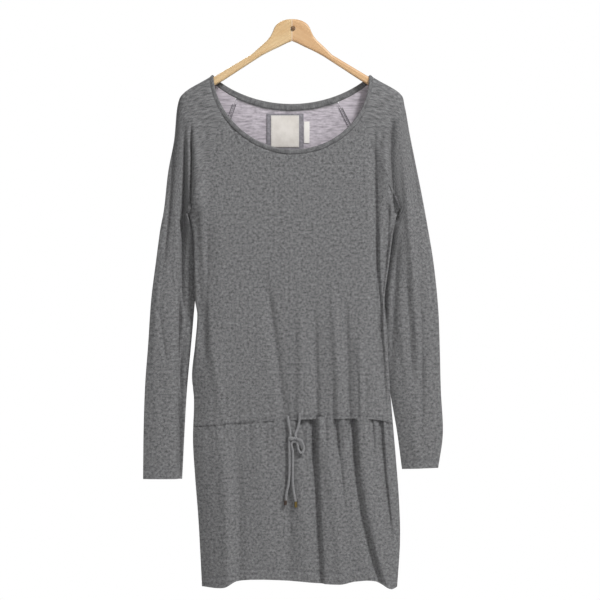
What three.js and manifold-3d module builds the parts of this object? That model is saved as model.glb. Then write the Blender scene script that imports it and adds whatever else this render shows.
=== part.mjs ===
// Knitted sweater dress with long raglan sleeves and a drawstring waist, hung on a wooden hanger.
// Millimetres, +Z up, the front of the dress faces -Y. The origin is the pin that the hanger's head hangs on.
// A "drop" is a height measured down from that pin, and x is seen from the front, so the left side is at -x.
import * as THREE from "three";
import { mergeVertices } from "three/addons/utils/BufferGeometryUtils.js";
import Module from "manifold-3d";

const wasm = await Module();
wasm.setup();

// Cloth
const WALL = 1.8; // fine-gauge knit
const CASING_WALL = 2.6; // two layers of it
const SEAM = 0.4; // clearance between pieces that are sewn together
const HALF_GAP = 0.2; // the front and the back panel lie this far from the middle plane at least
const EDGE_LENS = 70; // width over which a panel rounds down to its side seam
const ARMPIT_LENS = 60; // and the raglan seam, over this length, to the armpit
const FOLD_FADE = 0.25; // share of a fold's length over which each of its ends fades out

// Neck opening, an oval seen from the front
const NECK = {
  middle: -3,
  top: 83,
  halfWidth: 136,
  frontDip: 129.5,
  backDip: 52.5,
  frontPower: { left: 1.85, right: 2.05 },
  backPower: 1.6,
  band: 7.3,
};

// Shoulders lie over the hanger's arms
const RIDGE = { radius: 7.8, half: 15, growth: 40, slope: 0.6 };
const RAGLAN = {
  left: { front: 150.7, back: 133, armpit: { x: -182, drop: 324.6 } },
  right: { front: 29, back: 55, armpit: { x: 186.4, drop: 315.9 } },
  bow: 4,
};

// Side seams below the armpits
const SIDES = {
  left: [
    { drop: 324.6, x: -182 },
    { drop: 346, x: -176.8 },
    { drop: 372, x: -174 },
    { drop: 423, x: -173.3 },
    { drop: 475, x: -171.5 },
    { drop: 501, x: -167.5 },
    { drop: 554, x: -171.5 },
    { drop: 606, x: -176.8 },
    { drop: 650, x: -173.3 },
    { drop: 720, x: -175 },
    { drop: 781, x: -171.5 },
    { drop: 860, x: -165.4 },
    { drop: 980, x: -159 },
  ],
  right: [
    { drop: 315.9, x: 186.4 },
    { drop: 330, x: 181 },
    { drop: 353, x: 175.9 },
    { drop: 414, x: 168 },
    { drop: 475, x: 160.1 },
    { drop: 528, x: 164.5 },
    { drop: 615, x: 168.9 },
    { drop: 682, x: 174.1 },
    { drop: 755, x: 180.3 },
    { drop: 825, x: 185.5 },
    { drop: 895, x: 187.3 },
    { drop: 980, x: 182 },
  ],
};

// Half of the thickness of the hanging body, from the middle plane to the inside of a panel
const BODY_HALF = [
  { drop: 140, half: 12.9 },
  { drop: 220, half: 14.6 },
  { drop: 330, half: 15.5 },
  { drop: 500, half: 16 },
  { drop: 690, half: 16.5 },
  { drop: 780, half: 19 },
  { drop: 980, half: 22 },
];

// Lower edge of the drawstring casing, and the skirt's hem
const CASING = 14;
const WAIST = [
  { x: -175, drop: 696.5 },
  { x: -119, drop: 692 },
  { x: -54, drop: 686 },
  { x: 12, drop: 680 },
  { x: 65, drop: 678 },
  { x: 117, drop: 678 },
  { x: 143, drop: 681.6 },
  { x: 175, drop: 692 },
];
const HEM = [
  { x: -160, drop: 975.6 },
  { x: -121, drop: 976.5 },
  { x: -98, drop: 965 },
  { x: -58, drop: 961.6 },
  { x: 0, drop: 963.4 },
  { x: 80, drop: 968.6 },
  { x: 110, drop: 963 },
  { x: 143, drop: 962.5 },
  { x: 171, drop: 976.5 },
  { x: 184, drop: 972 },
];

// Sleeve sections: the two edges of the hanging sleeve seen from the front, from the neck to the cuff.
// radius rounds the outer fold, half is the sleeve's half thickness, and back is how far it hangs behind.
const SLEEVES = {
  left: [
    { outerX: -154, outerDrop: 89.9, innerX: -182, innerDrop: 332, radius: 7.8, half: 14, back: 0 },
    { outerX: -189.5, outerDrop: 111.2, innerX: -180, innerDrop: 341, radius: 7.2, half: 13, back: 2 },
    { outerX: -202, outerDrop: 133.9, innerX: -178, innerDrop: 349, radius: 3.6, half: 12.5, back: 6 },
    { outerX: -208.3, outerDrop: 195, innerX: -174.5, innerDrop: 362, radius: 2.4, half: 12, back: 10 },
    { outerX: -218.8, outerDrop: 251, innerX: -171.5, innerDrop: 380, radius: 1.6, half: 11.5, back: 12 },
    { outerX: -225.8, outerDrop: 314, innerX: -170.6, innerDrop: 402, radius: 1.4, half: 11, back: 12 },
    { outerX: -232.8, outerDrop: 352.6, innerX: -170.6, innerDrop: 428, radius: 1.4, half: 10.5, back: 11.5 },
    { outerX: -239.8, outerDrop: 405, innerX: -170.8, innerDrop: 457, radius: 1.4, half: 10, back: 11 },
    { outerX: -248.5, outerDrop: 475, innerX: -174, innerDrop: 500, radius: 1.4, half: 9.5, back: 9 },
    { outerX: -253.8, outerDrop: 554, innerX: -179.4, innerDrop: 562, radius: 1.4, half: 9, back: 7 },
    { outerX: -259, outerDrop: 624, innerX: -185.5, innerDrop: 628, radius: 1.4, half: 8.5, back: 6 },
    { outerX: -261.6, outerDrop: 702, innerX: -190, innerDrop: 704, radius: 1.4, half: 8, back: 5 },
    { outerX: -262.5, outerDrop: 788.4, innerX: -194.3, innerDrop: 788.4, radius: 1.4, half: 7.5, back: 4 },
  ],
  right: [
    { outerX: 148, outerDrop: 89.9, innerX: 185, innerDrop: 323, radius: 7.8, half: 14, back: 0 },
    { outerX: 187, outerDrop: 113.4, innerX: 181, innerDrop: 333, radius: 7.2, half: 13, back: 2 },
    { outerX: 196, outerDrop: 138, innerX: 178, innerDrop: 343, radius: 3.6, half: 12.5, back: 6 },
    { outerX: 204.8, outerDrop: 186.4, innerX: 174.5, innerDrop: 356, radius: 2.4, half: 12, back: 10 },
    { outerX: 215.3, outerDrop: 238.9, innerX: 171, innerDrop: 375, radius: 1.6, half: 11.5, back: 12 },
    { outerX: 225.8, outerDrop: 291.4, innerX: 167.6, innerDrop: 398, radius: 1.4, half: 11, back: 12 },
    { outerX: 236.3, outerDrop: 349.1, innerX: 163.5, innerDrop: 427, radius: 1.4, half: 10.5, back: 12 },
    { outerX: 246.8, outerDrop: 413.9, innerX: 158.4, innerDrop: 464, radius: 1.4, half: 10, back: 12 },
    { outerX: 254.5, outerDrop: 490, innerX: 159, innerDrop: 508, radius: 1.4, half: 10, back: 12 },
    { outerX: 257.3, outerDrop: 562.6, innerX: 163.4, innerDrop: 566, radius: 1.4, half: 9.5, back: 12 },
    { outerX: 259, outerDrop: 632.6, innerX: 170, innerDrop: 634, radius: 1.4, half: 9, back: 10 },
    { outerX: 262.5, outerDrop: 708, innerX: 182, innerDrop: 704, radius: 1.4, half: 8, back: 7 },
    { outerX: 254.2, outerDrop: 769, innerX: 190.8, innerDrop: 771, radius: 1.4, half: 7.5, back: 5 },
  ],
};
const FAN = 5; // the seam's own shape fades out over this many sections
const SPREAD = 4; // and its spacing over this many
const WALL_TURN = 1.2; // and the direction of its wall over this many
const RING_STATIONS = [0, 0.4, 0.8, 1.2, 1.7, 2.2, 2.8, 3.5, 4.3, 5.2, 6.2, 7.2, 8.3, 9.4, 10.5, 11.6, 13];
const INNER_LENS = 34; // width over which the sleeve rounds down to its inner edge
const TUBE_GROWTH = 16; // and over which it fills out from its outer fold
const OUTER_SWING = 0.6; // share of the sleeve's hang behind the body that its outer fold has
const THINNEST = 0.3;
const ARMPIT_CLEAR = { gap: 3.9, over: 0.4 }; // beside the armpit, reached within part of a section
const BEHIND_START = 2.6; // section where the sleeve begins to go behind
const TUCK = 3; // the sleeve reaches this far behind the body
const BEHIND = { from: 4.2, to: 6.2 }; // depths between which it gets clear of the body's edge
const NECK_STEPS = 6;
const SHOULDER_CROWD = { front: 2.55, back: 1.375 }; // how closely those steps lie at the shoulder ridge
const RAGLAN_STOPS = [1, 0.95, 0.85, 0.71, 0.57, 0.43, 0.28, 0.13]; // from the armpit up the seam

// Folds: each runs down the cloth from one drop to the other, through three x places,
// and is a trough where its rise is negative and a ridge where it is positive.
const BODICE_FOLDS = [
  { from: 160, to: 690, top: 141.8, middle: 149.5, bottom: 167, width: 8, rise: -3.4 },
  { from: 150, to: 660, top: 162.8, middle: 160, bottom: 174, width: 7, rise: 2.2 },
  { from: 140, to: 330, top: 175, middle: 175, bottom: 177, width: 6, rise: -4.6 },
  { from: 185, to: 335, top: -175, middle: -175, bottom: -177, width: 5, rise: -3.6 },
  { from: 150, to: 690, top: -166, middle: -154, bottom: -122, width: 12, rise: 2.4 },
  { from: 330, to: 590, top: -147, middle: -150, bottom: -153, width: 11, rise: -2 },
  { from: 440, to: 720, top: -46, middle: -24.5, bottom: -6, width: 9, rise: -2.2 },
  { from: 500, to: 730, top: 12, middle: 15.8, bottom: 11, width: 8, rise: 2.4 },
  { from: 510, to: 730, top: 37, middle: 41, bottom: 44, width: 8, rise: -2.2 },
  { from: 470, to: 730, top: 68, middle: 79, bottom: 82, width: 8, rise: 2.2 },
  { from: 500, to: 730, top: 93, middle: 97, bottom: 101, width: 8, rise: -2.2 },
  { from: 540, to: 730, top: 117, middle: 117, bottom: 118, width: 8, rise: 2 },
];
const SKIRT_FOLDS = [
  { from: 620, to: 970, top: 32, middle: 42, bottom: 53, width: 8, rise: -3.6 },
  { from: 620, to: 980, top: 100, middle: 119, bottom: 152, width: 8, rise: -3.6 },
  { from: 620, to: 870, top: 143, middle: 158, bottom: 171, width: 8, rise: -2.8 },
  { from: 640, to: 800, top: 71, middle: 80, bottom: 90, width: 8, rise: -2.2 },
  { from: 640, to: 890, top: 128, middle: 145, bottom: 157, width: 8, rise: -1.6 },
  { from: 640, to: 790, top: 10, middle: 22, bottom: 31, width: 8, rise: -1.8 },
  { from: 680, to: 1040, top: -126, middle: -114, bottom: -117, width: 16, rise: 2.6 },
  { from: 640, to: 1040, top: 44, middle: 76, bottom: 94, width: 13, rise: 2.8 },
  { from: 640, to: 1000, top: 110, middle: 131, bottom: 170, width: 10, rise: 2.4 },
  { from: 700, to: 1000, top: 10, middle: 17.5, bottom: 24, width: 10, rise: 2 },
  { from: 640, to: 960, top: -90, middle: -92, bottom: -93, width: 16, rise: -1.6 },
  { from: 690, to: 990, top: -12, middle: -6, bottom: -3, width: 10, rise: -1.6 },
];
const SLEEVE_FOLDS = [
  { from: 170, to: 760, top: -185.5, middle: -199, bottom: -203, width: 7, rise: -3 },
  { from: 190, to: 410, top: -209, middle: -216, bottom: -229, width: 6, rise: -1.6 },
  { from: 190, to: 620, top: 183.8, middle: 209, bottom: 226, width: 9, rise: 2.4 },
  { from: 420, to: 640, top: 199, middle: 206, bottom: 212, width: 7, rise: -2 },
  { from: 180, to: 340, top: 203, middle: 213, bottom: 223, width: 6, rise: -1.6 },
];
const BODICE_BACK_FOLDS = [
  { from: 300, to: 690, top: -140, middle: -146, bottom: -150, width: 10, rise: -2.6 },
  { from: 330, to: 690, top: 138, middle: 132, bottom: 128, width: 12, rise: -2.2 },
  { from: 240, to: 620, top: -70, middle: -62, bottom: -48, width: 18, rise: 1.8 },
  { from: 260, to: 600, top: 60, middle: 66, bottom: 74, width: 18, rise: 1.8 },
  { from: 500, to: 730, top: -96, middle: -90, bottom: -84, width: 9, rise: -2.2 },
  { from: 520, to: 730, top: -34, middle: -28, bottom: -26, width: 9, rise: -2.2 },
  { from: 490, to: 730, top: 14, middle: 20, bottom: 24, width: 9, rise: -2.2 },
  { from: 520, to: 730, top: 96, middle: 90, bottom: 88, width: 9, rise: -2 },
];
const SKIRT_BACK_FOLDS = [
  { from: 620, to: 960, top: -132, middle: -138, bottom: -144, width: 10, rise: -3 },
  { from: 620, to: 900, top: -88, middle: -84, bottom: -78, width: 9, rise: -2.6 },
  { from: 620, to: 1000, top: -30, middle: -36, bottom: -42, width: 10, rise: -3.2 },
  { from: 620, to: 860, top: 22, middle: 26, bottom: 34, width: 9, rise: -2.4 },
  { from: 620, to: 1000, top: 84, middle: 92, bottom: 104, width: 10, rise: -3.2 },
  { from: 620, to: 880, top: 130, middle: 134, bottom: 140, width: 9, rise: -2.4 },
  { from: 660, to: 1040, top: -60, middle: -62, bottom: -60, width: 14, rise: 2.6 },
  { from: 660, to: 1040, top: 54, middle: 60, bottom: 68, width: 14, rise: 2.6 },
];

// Labels sewn inside the back neck, with their edges seen from the front
const LABEL_GAP = 0.35;
const LABEL_GRID = [4, 4];
const LABELS = {
  label_patch: { left: -46.4, right: 18.6, top: 148, bottom: 214, lift: 0, thickness: 0.9, colour: 0x6f6c70 },
  neck_label: { left: -38.5, right: 8.8, top: 151.5, bottom: 207, lift: 1.25, thickness: 0.8, colour: 0xdedbd3 },
  care_label: { left: 19.2, right: 28.9, top: 162, bottom: 200, lift: 0, thickness: 0.6, colour: 0xe8e8ea },
};

// Drawstring: it comes out of the casing, is tied in a half bow and hangs down in front of the skirt.
// out is how far the middle of the cord lies in front of the cloth.
const CORD = 4.6;
const CORD_REST = CORD / 2 + 0.32;
const CORD_SIDES = 8;
const CORD_STEP = 1.6 * CORD;
const CORD_REACH = { across: 3, down: 8 }; // cloth this near holds the cord off
const KNOT = { x: -1.4, drop: 716.5, halfWidth: 8.2, halfHeight: 5.2, halfDepth: 4.6, out: 6.2 };
const CORD_STRETCHES = {
  drawstring_left: [
    { x: -9.2, drop: 677, out: CORD_REST },
    { x: -7.9, drop: 688, out: CORD_REST },
    { x: -6, drop: 698, out: CORD_REST + 1 },
    { x: -4.6, drop: 710.9, out: CORD_REST + 3 },
  ],
  drawstring_right: [
    { x: 11.4, drop: 672, out: CORD_REST },
    { x: 10.8, drop: 686, out: CORD_REST },
    { x: 8.6, drop: 698, out: CORD_REST + 1 },
    { x: 4.2, drop: 711.2, out: CORD_REST + 3 },
  ],
  drawstring_loop: [
    { x: 7.2, drop: 717, out: 6.6 },
    { x: 13, drop: 719.5, out: 5.8 },
    { x: 17.6, drop: 727, out: 4.6 },
    { x: 18.4, drop: 736, out: 3.9 },
    { x: 14.6, drop: 741.2, out: 3.7 },
    { x: 10, drop: 737, out: 3.6 },
    { x: 8.2, drop: 729, out: 3.6 },
    { x: 6.2, drop: 723, out: 3.4 },
  ],
  drawstring_tail_left: [
    { x: -6.4, drop: 721.8, out: 4.8 },
    { x: -6.2, drop: 740, out: CORD_REST },
    { x: -6.1, drop: 770, out: CORD_REST },
    { x: -7.8, drop: 796, out: CORD_REST },
    { x: -11.4, drop: 812, out: CORD_REST },
    { x: -12.2, drop: 824, out: CORD_REST },
  ],
  drawstring_tail_right: [
    { x: -0.6, drop: 722.2, out: 4.8 },
    { x: -0.4, drop: 740, out: CORD_REST },
    { x: -0.4, drop: 770, out: CORD_REST },
    { x: 0, drop: 798, out: CORD_REST },
    { x: 2.2, drop: 814, out: CORD_REST },
    { x: 4.4, drop: 826, out: CORD_REST },
  ],
};
const TIPS = {
  tip_left: { x: -13.2, top: 824.5, bottom: 832.5, colour: 0x4a3a30, metalness: 0 },
  tip_right: { x: 5, top: 826.5, bottom: 836.5, colour: 0x8a7a4e, metalness: 0.8 },
};
const TIP_RADIUS = 2.6;
const TIP_BEVEL = { in: 0.6, along: 0.8 };

// Hanger
const HANGER = { thickness: 10.5, round: 4, slimRound: 0.42, joint: -1.75, jointGap: 0.4 };
const HANGER_REST = 1.5; // the arm's top edge lies this far below the inside of the shoulder
// Slices of one half, each a reach away from the joint, with its top and bottom edges above the peg.
// A null top lies under the shoulder ridge.
const HANGER_SLICES = [
  { reach: 0, top: 16.6, bottom: -22 },
  { reach: 9, top: 16, bottom: -25.5 },
  { reach: 17, top: 13.8, bottom: -29.5 },
  { reach: 23, top: 10.6, bottom: -32.5 },
  { reach: 27.5, top: 6.8, bottom: -34.6 },
  { reach: 31, top: 1.6, bottom: -36.2 },
  { reach: 33.6, top: -5, bottom: -37.4 },
  { reach: 37.5, top: -13, bottom: -39.3 },
  { reach: 44, top: -21, bottom: -42.6 },
  { reach: 54, top: -30, bottom: -48 },
  { reach: 70, top: null, bottom: -58.4 },
  { reach: 119, top: null, bottom: -90.3 },
  { reach: 160, top: null, bottom: -114 },
  { reach: 171, top: null, bottom: -119.6 },
  { reach: 175.5, top: -111.4, bottom: -120.6 },
  { reach: 177.5, top: -114.2, bottom: -118.6 },
];
const PEG = { radius: 3.9, hole: 4.25, front: 8.2, back: 7, dome: 1.6, flat: 0.7 };

const COLOURS = {
  front: 0x7e7f82,
  back: 0x77787b,
  sleeve: 0x7a7b7e,
  band: 0x6c6d70,
  cord: 0x8b8b8d,
  beech: 0xe2c08c,
  beechDark: 0xd6b07a,
  peg: 0x6f5235,
};

const radians = (degrees) => (degrees * Math.PI) / 180;
const mix = (a, b, t) => a + (b - a) * t;
const clamp01 = (t) => Math.min(1, Math.max(0, t));
const ease = (t) => clamp01(t) ** 2 * (3 - 2 * clamp01(t));
const signOf = (side) => (side === "left" ? -1 : 1);

// A table's column at any place between its rows, on a smooth curve through them
function read(rows, key, place, column) {
  const last = rows.length - 1;
  const at = Math.min(rows[last][key], Math.max(rows[0][key], place));
  const i = Math.max(0, Math.min(last - 1, rows.findLastIndex((row) => row[key] <= at)));
  const slope = (n) => {
    const before = rows[Math.max(0, n - 1)];
    const after = rows[Math.min(last, n + 1)];
    return (after[column] - before[column]) / (after[key] - before[key]);
  };
  const span = rows[i + 1][key] - rows[i][key];
  const t = (at - rows[i][key]) / span;
  const straight = mix(rows[i][column], rows[i + 1][column], t);
  const chord = (rows[i + 1][column] - rows[i][column]) / span;
  const bendStart = (slope(i) - chord) * span * t * (1 - t) ** 2;
  const bendEnd = (chord - slope(i + 1)) * span * t ** 2 * (1 - t);
  return straight + bendStart + bendEnd;
}

const sideX = (side, drop) => read(SIDES[side], "drop", drop, "x");
const waistDrop = (x) => read(WAIST, "x", x, "drop");
const hemDrop = (x) => read(HEM, "x", x, "drop");

// Rounded ridge over the hanger's arm, widening below it
function ridgeHalf(below, radius, half, growth) {
  if (below < radius) return Math.sqrt(Math.max(0, radius ** 2 - (radius - below) ** 2));
  return radius + (half - radius) * (1 - Math.exp((radius - below) / growth));
}

function foldRise(folds, x, drop) {
  let rise = 0;
  for (const fold of folds) {
    const t = (drop - fold.from) / (fold.to - fold.from);
    if (t <= 0 || t >= 1) continue;
    const bend = fold.middle - (fold.top + fold.bottom) / 2;
    const path = mix(fold.top, fold.bottom, t) + 4 * bend * t * (1 - t);
    const fade = ease(t / FOLD_FADE) * ease((1 - t) / FOLD_FADE);
    rise += fold.rise * fade * Math.exp(-(((x - path) / fold.width) ** 2));
  }
  return rise;
}

// Neck edge. angle runs from 180 at the left shoulder to 0 at the right one; across is a distance from the
// opening's edge along the cloth.
function neckPoint(angle, face, across) {
  const c = Math.cos(radians(angle));
  const s = Math.sin(radians(angle));
  const front = face === "front";
  const power = front ? NECK.frontPower[c < 0 ? "left" : "right"] : 2;
  const x = NECK.middle + NECK.halfWidth * Math.sign(c) * Math.abs(c) ** (2 / power);
  const below = front ? NECK.frontDip * s ** (2 / power) : NECK.backDip * s ** NECK.backPower;
  const outward = new THREE.Vector2(c, s + RIDGE.slope * Math.abs(c)).normalize();
  const half = ridgeHalf(below, RIDGE.radius, RIDGE.half, RIDGE.growth);
  const facing = front ? -1 : 1;
  const tilt = clamp01((RIDGE.radius - below) / RIDGE.radius);
  const normal = new THREE.Vector3(
    tilt * Math.sign(c) * Math.sin(Math.atan(RIDGE.slope)),
    facing * Math.sqrt(1 - tilt ** 2),
    tilt * Math.cos(Math.atan(RIDGE.slope)),
  ).normalize();
  return {
    x: x + across * outward.x,
    drop: NECK.top + below + across * outward.y,
    y: facing * half,
    half,
    normal,
  };
}

// Angles along the neck edge of one sleeve, from its shoulder ridge to the raglan seam
function sleeveNeckAngles(side, face) {
  const end = RAGLAN[side][face];
  const endSine = Math.sin(radians(end));
  const angles = [];
  for (let k = 0; k <= NECK_STEPS; k++) {
    const sine = endSine * (k / NECK_STEPS) ** SHOULDER_CROWD[face];
    const angle = (Math.asin(sine) * 180) / Math.PI;
    angles.push(side === "left" ? 180 - angle : angle);
  }
  return angles;
}

// Raglan seam from the neck (q = 0) to the armpit (q = 1)
function raglanPoint(side, face, q) {
  const start = neckPoint(RAGLAN[side][face], face, NECK.band + SEAM);
  const armpit = RAGLAN[side].armpit;
  const bow = RAGLAN.bow * 4 * q * (1 - q) * -signOf(side);
  const x = mix(start.x, armpit.x, q) + bow;
  const drop = mix(start.drop, armpit.drop, q);
  const toArmpit = Math.hypot(armpit.x - x, armpit.drop - drop);
  const taper = 1 - (1 - clamp01(toArmpit / ARMPIT_LENS)) ** 2;
  return { x, drop, half: mix(start.half, RIDGE.half, q) * taper };
}

// Shell between two matching grids of points, with its cut edges closed
function shell(name, inner, outer, ring, material) {
  const rows = inner.length;
  const columns = inner[0].length;
  const positions = [];
  for (const grid of [inner, outer])
    for (const row of grid) for (const point of row) positions.push(point.x, point.y, point.z);
  const at = (layer, r, c) => layer * rows * columns + r * columns + (c % columns);
  const faces = [];
  const quad = (a, b, c, d) => faces.push(a, b, c, a, c, d);
  const spans = ring ? columns : columns - 1;
  for (let r = 0; r < rows - 1; r++)
    for (let c = 0; c < spans; c++) {
      quad(at(0, r, c), at(0, r, c + 1), at(0, r + 1, c + 1), at(0, r + 1, c));
      quad(at(1, r, c), at(1, r + 1, c), at(1, r + 1, c + 1), at(1, r, c + 1));
    }
  for (let c = 0; c < spans; c++) {
    quad(at(0, 0, c), at(1, 0, c), at(1, 0, c + 1), at(0, 0, c + 1));
    quad(at(0, rows - 1, c), at(0, rows - 1, c + 1), at(1, rows - 1, c + 1), at(1, rows - 1, c));
  }
  if (!ring)
    for (let r = 0; r < rows - 1; r++) {
      quad(at(0, r, 0), at(0, r + 1, 0), at(1, r + 1, 0), at(1, r, 0));
      quad(at(0, r, spans), at(1, r, spans), at(1, r + 1, spans), at(0, r + 1, spans));
    }
  return solid(name, positions, faces, material);
}

// Mesh of a closed surface, turned so that its faces point out
function solid(name, positions, faces, material) {
  const corner = (i) => new THREE.Vector3().fromArray(positions, 3 * i);
  let volume = 0;
  for (let i = 0; i < faces.length; i += 3)
    volume += corner(faces[i]).dot(corner(faces[i + 1]).cross(corner(faces[i + 2])));
  const geometry = new THREE.BufferGeometry();
  geometry.setAttribute("position", new THREE.Float32BufferAttribute(positions, 3));
  geometry.setIndex(volume > 0 ? faces : faces.toReversed());
  geometry.computeVertexNormals();
  const mesh = new THREE.Mesh(geometry, material);
  mesh.name = name;
  return mesh;
}

const cloth = (colour) => new THREE.MeshStandardMaterial({ color: colour, roughness: 0.95 });

// Flat panel of the front or the back. The four edges give { x, drop } for a place along them, and
// edgeHalf gives the half thickness where the left and right edges lie.
function panel(name, shape) {
  const facing = shape.face === "front" ? -1 : 1;
  const inner = [];
  const outer = [];
  for (let r = 0; r <= shape.rows; r++) {
    const v = r / shape.rows;
    const left = shape.left(v);
    const right = shape.right(v);
    const topLeft = shape.top(0);
    const topRight = shape.top(1);
    const bottomLeft = shape.bottom(0);
    const bottomRight = shape.bottom(1);
    const innerRow = [];
    const outerRow = [];
    for (let c = 0; c <= shape.columns; c++) {
      const u = c / shape.columns;
      const top = shape.top(u);
      const bottom = shape.bottom(u);
      const topPull = (1 - v) ** 2;
      const bottomPull = v ** 3;
      const place = (key) =>
        mix(left[key], right[key], u) +
        (top[key] - mix(topLeft[key], topRight[key], u)) * topPull +
        (bottom[key] - mix(bottomLeft[key], bottomRight[key], u)) * bottomPull;
      const x = place("x");
      const drop = place("drop");
      const body = read(BODY_HALF, "drop", drop, "half");
      const nearLeft = (1 - clamp01((x - left.x) / EDGE_LENS)) ** 2;
      const nearRight = (1 - clamp01((right.x - x) / EDGE_LENS)) ** 2;
      const plain = body + (left.half - body) * nearLeft + (right.half - body) * nearRight;
      const half = HALF_GAP + Math.max(0, plain + foldRise(shape.folds, x, drop));
      innerRow.push(new THREE.Vector3(x, facing * half, -drop));
      outerRow.push(new THREE.Vector3(x, facing * (half + shape.wall), -drop));
    }
    inner.push(innerRow);
    outer.push(outerRow);
  }
  return shell(name, inner, outer, false, shape.material);
}

// Side edge of a panel: the raglan seam down to the armpit, then the side seam
function bodiceEdge(side, face) {
  const armpitAt = 1 / 3; // a row of the panel lies on it
  const armpit = RAGLAN[side].armpit;
  const inset = (-signOf(side) * SEAM) / 2;
  const bottom = waistDrop(sideX(side, 690)) - CASING - SEAM;
  return (v) => {
    if (v < armpitAt) {
      const seam = raglanPoint(side, face, v / armpitAt);
      return { x: seam.x + inset, drop: seam.drop, half: seam.half };
    }
    const down = ((v - armpitAt) / (1 - armpitAt)) ** 1.5; // close rows where the side seam bends
    const drop = mix(armpit.drop, bottom, down);
    return { x: sideX(side, drop) + inset, drop, half: 0 };
  };
}

function bodice(name, face, folds, rows, columns, colour) {
  const left = bodiceEdge("left", face);
  const right = bodiceEdge("right", face);
  return panel(name, {
    face,
    folds,
    rows,
    columns,
    wall: WALL,
    material: cloth(colour),
    left,
    right,
    top: (u) => neckPoint(mix(RAGLAN.left[face], RAGLAN.right[face], u), face, NECK.band + SEAM),
    bottom: (u) => {
      const x = mix(left(1).x, right(1).x, u);
      return { x, drop: waistDrop(x) - CASING - SEAM };
    },
  });
}

// Panel between two lines that cross the body, each a function of x
function crossPanel(name, face, folds, upper, lower, rows, columns, wall, colour) {
  const edge = (side) => (v) => {
    const near = sideX(side, 690);
    const drop = mix(upper(near), lower(near), v);
    return { x: sideX(side, drop), drop, half: 0 };
  };
  const line = (rule, v) => (u) => {
    const x = mix(edge("left")(v).x, edge("right")(v).x, u);
    return { x, drop: rule(x) };
  };
  return panel(name, {
    face,
    folds,
    rows,
    columns,
    wall,
    material: cloth(colour),
    left: edge("left"),
    right: edge("right"),
    top: line(upper, 0),
    bottom: line(lower, 1),
  });
}

const casing = (name, face, columns) =>
  crossPanel(name, face, [], (x) => waistDrop(x) - CASING, waistDrop, 1, columns, CASING_WALL, COLOURS.band);

const skirt = (name, face, folds, rows, columns, colour) =>
  crossPanel(name, face, folds, (x) => waistDrop(x) + SEAM, hemDrop, rows, columns, WALL, colour);

// Seam end of the sleeve, half a ring from the armpit to the shoulder ridge
function seamRing(side, face) {
  const inset = (signOf(side) * SEAM) / 2;
  const points = [];
  for (const q of RAGLAN_STOPS) {
    const seam = raglanPoint(side, face, q);
    const pull = new THREE.Vector3(0, face === "front" ? -1 : 1, 0);
    points.push({ x: seam.x + inset, drop: seam.drop, half: seam.half, pull });
  }
  for (const angle of sleeveNeckAngles(side, face).reverse()) {
    const edge = neckPoint(angle, face, NECK.band + 2 * SEAM);
    points.push({ x: edge.x, drop: edge.drop, half: edge.half, pull: edge.normal });
  }
  return points;
}

// Sleeve sections at any station, with the wall's thickness taken off both edges
function sleeveSection(side, station) {
  const start = neckPoint(side === "left" ? 180 : 0, "front", NECK.band + 2 * SEAM);
  const lift = WALL * Math.cos(Math.atan(RIDGE.slope));
  const slide = WALL * Math.sin(Math.atan(RIDGE.slope));
  const first = {
    outerX: start.x + signOf(side) * slide,
    outerDrop: start.drop - lift,
    innerX: RAGLAN[side].armpit.x + (signOf(side) * SEAM) / 2,
    innerDrop: RAGLAN[side].armpit.drop,
    radius: RIDGE.radius,
    half: RIDGE.half,
    back: 0,
  };
  const rows = [first, ...SLEEVES[side]].map((row, n) => ({ n, ...row }));
  const value = (column) => read(rows, "n", station, column);
  const step = 0.05;
  const before = Math.max(0, station - step);
  const after = Math.min(rows.length - 1, station + step);
  const along = new THREE.Vector2(
    read(rows, "n", after, "outerX") - read(rows, "n", before, "outerX"),
    read(rows, "n", after, "outerDrop") - read(rows, "n", before, "outerDrop"),
  ).normalize();
  const outer = new THREE.Vector2(value("outerX"), value("outerDrop"));
  outer.add(new THREE.Vector2(along.y, -along.x).multiplyScalar(-signOf(side) * WALL));
  const inner = new THREE.Vector2(value("innerX"), value("innerDrop"));
  inner.add(outer.clone().sub(inner).normalize().multiplyScalar(WALL));
  return { outer, inner, radius: value("radius"), half: value("half"), back: value("back") };
}

// Beside the armpit the sleeve stays on its own side of the raglan seam and the side seam,
// and lower down, where it hangs behind the body, it reaches a little way past the side seam.
function clearOfBody(side, face, place, station, y) {
  const sign = signOf(side);
  const start = raglanPoint(side, face, 0).drop;
  const end = RAGLAN[side].armpit.drop;
  if (place.y < start || station === 0) return place.x;
  const clear = SEAM / 2 + ARMPIT_CLEAR.gap * ease(station / ARMPIT_CLEAR.over);
  if (place.y < end) {
    const seam = raglanPoint(side, face, (place.y - start) / (end - start));
    return sign * Math.max(sign * place.x, sign * seam.x + clear);
  }
  const behind = ease((y - BEHIND.from) / (BEHIND.to - BEHIND.from)) * ease(station - BEHIND_START);
  const limit = sign * sideX(side, place.y) + mix(clear, -TUCK, behind);
  return sign * Math.max(sign * place.x, limit);
}

// Places round half a hanging sleeve, as shares of its width from the inner edge to the outer one
function tubeShares(steps) {
  const shares = [];
  for (let k = 0; k <= steps; k++) shares.push((1 - Math.cos((Math.PI * k) / steps)) / 2);
  return shares;
}

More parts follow.
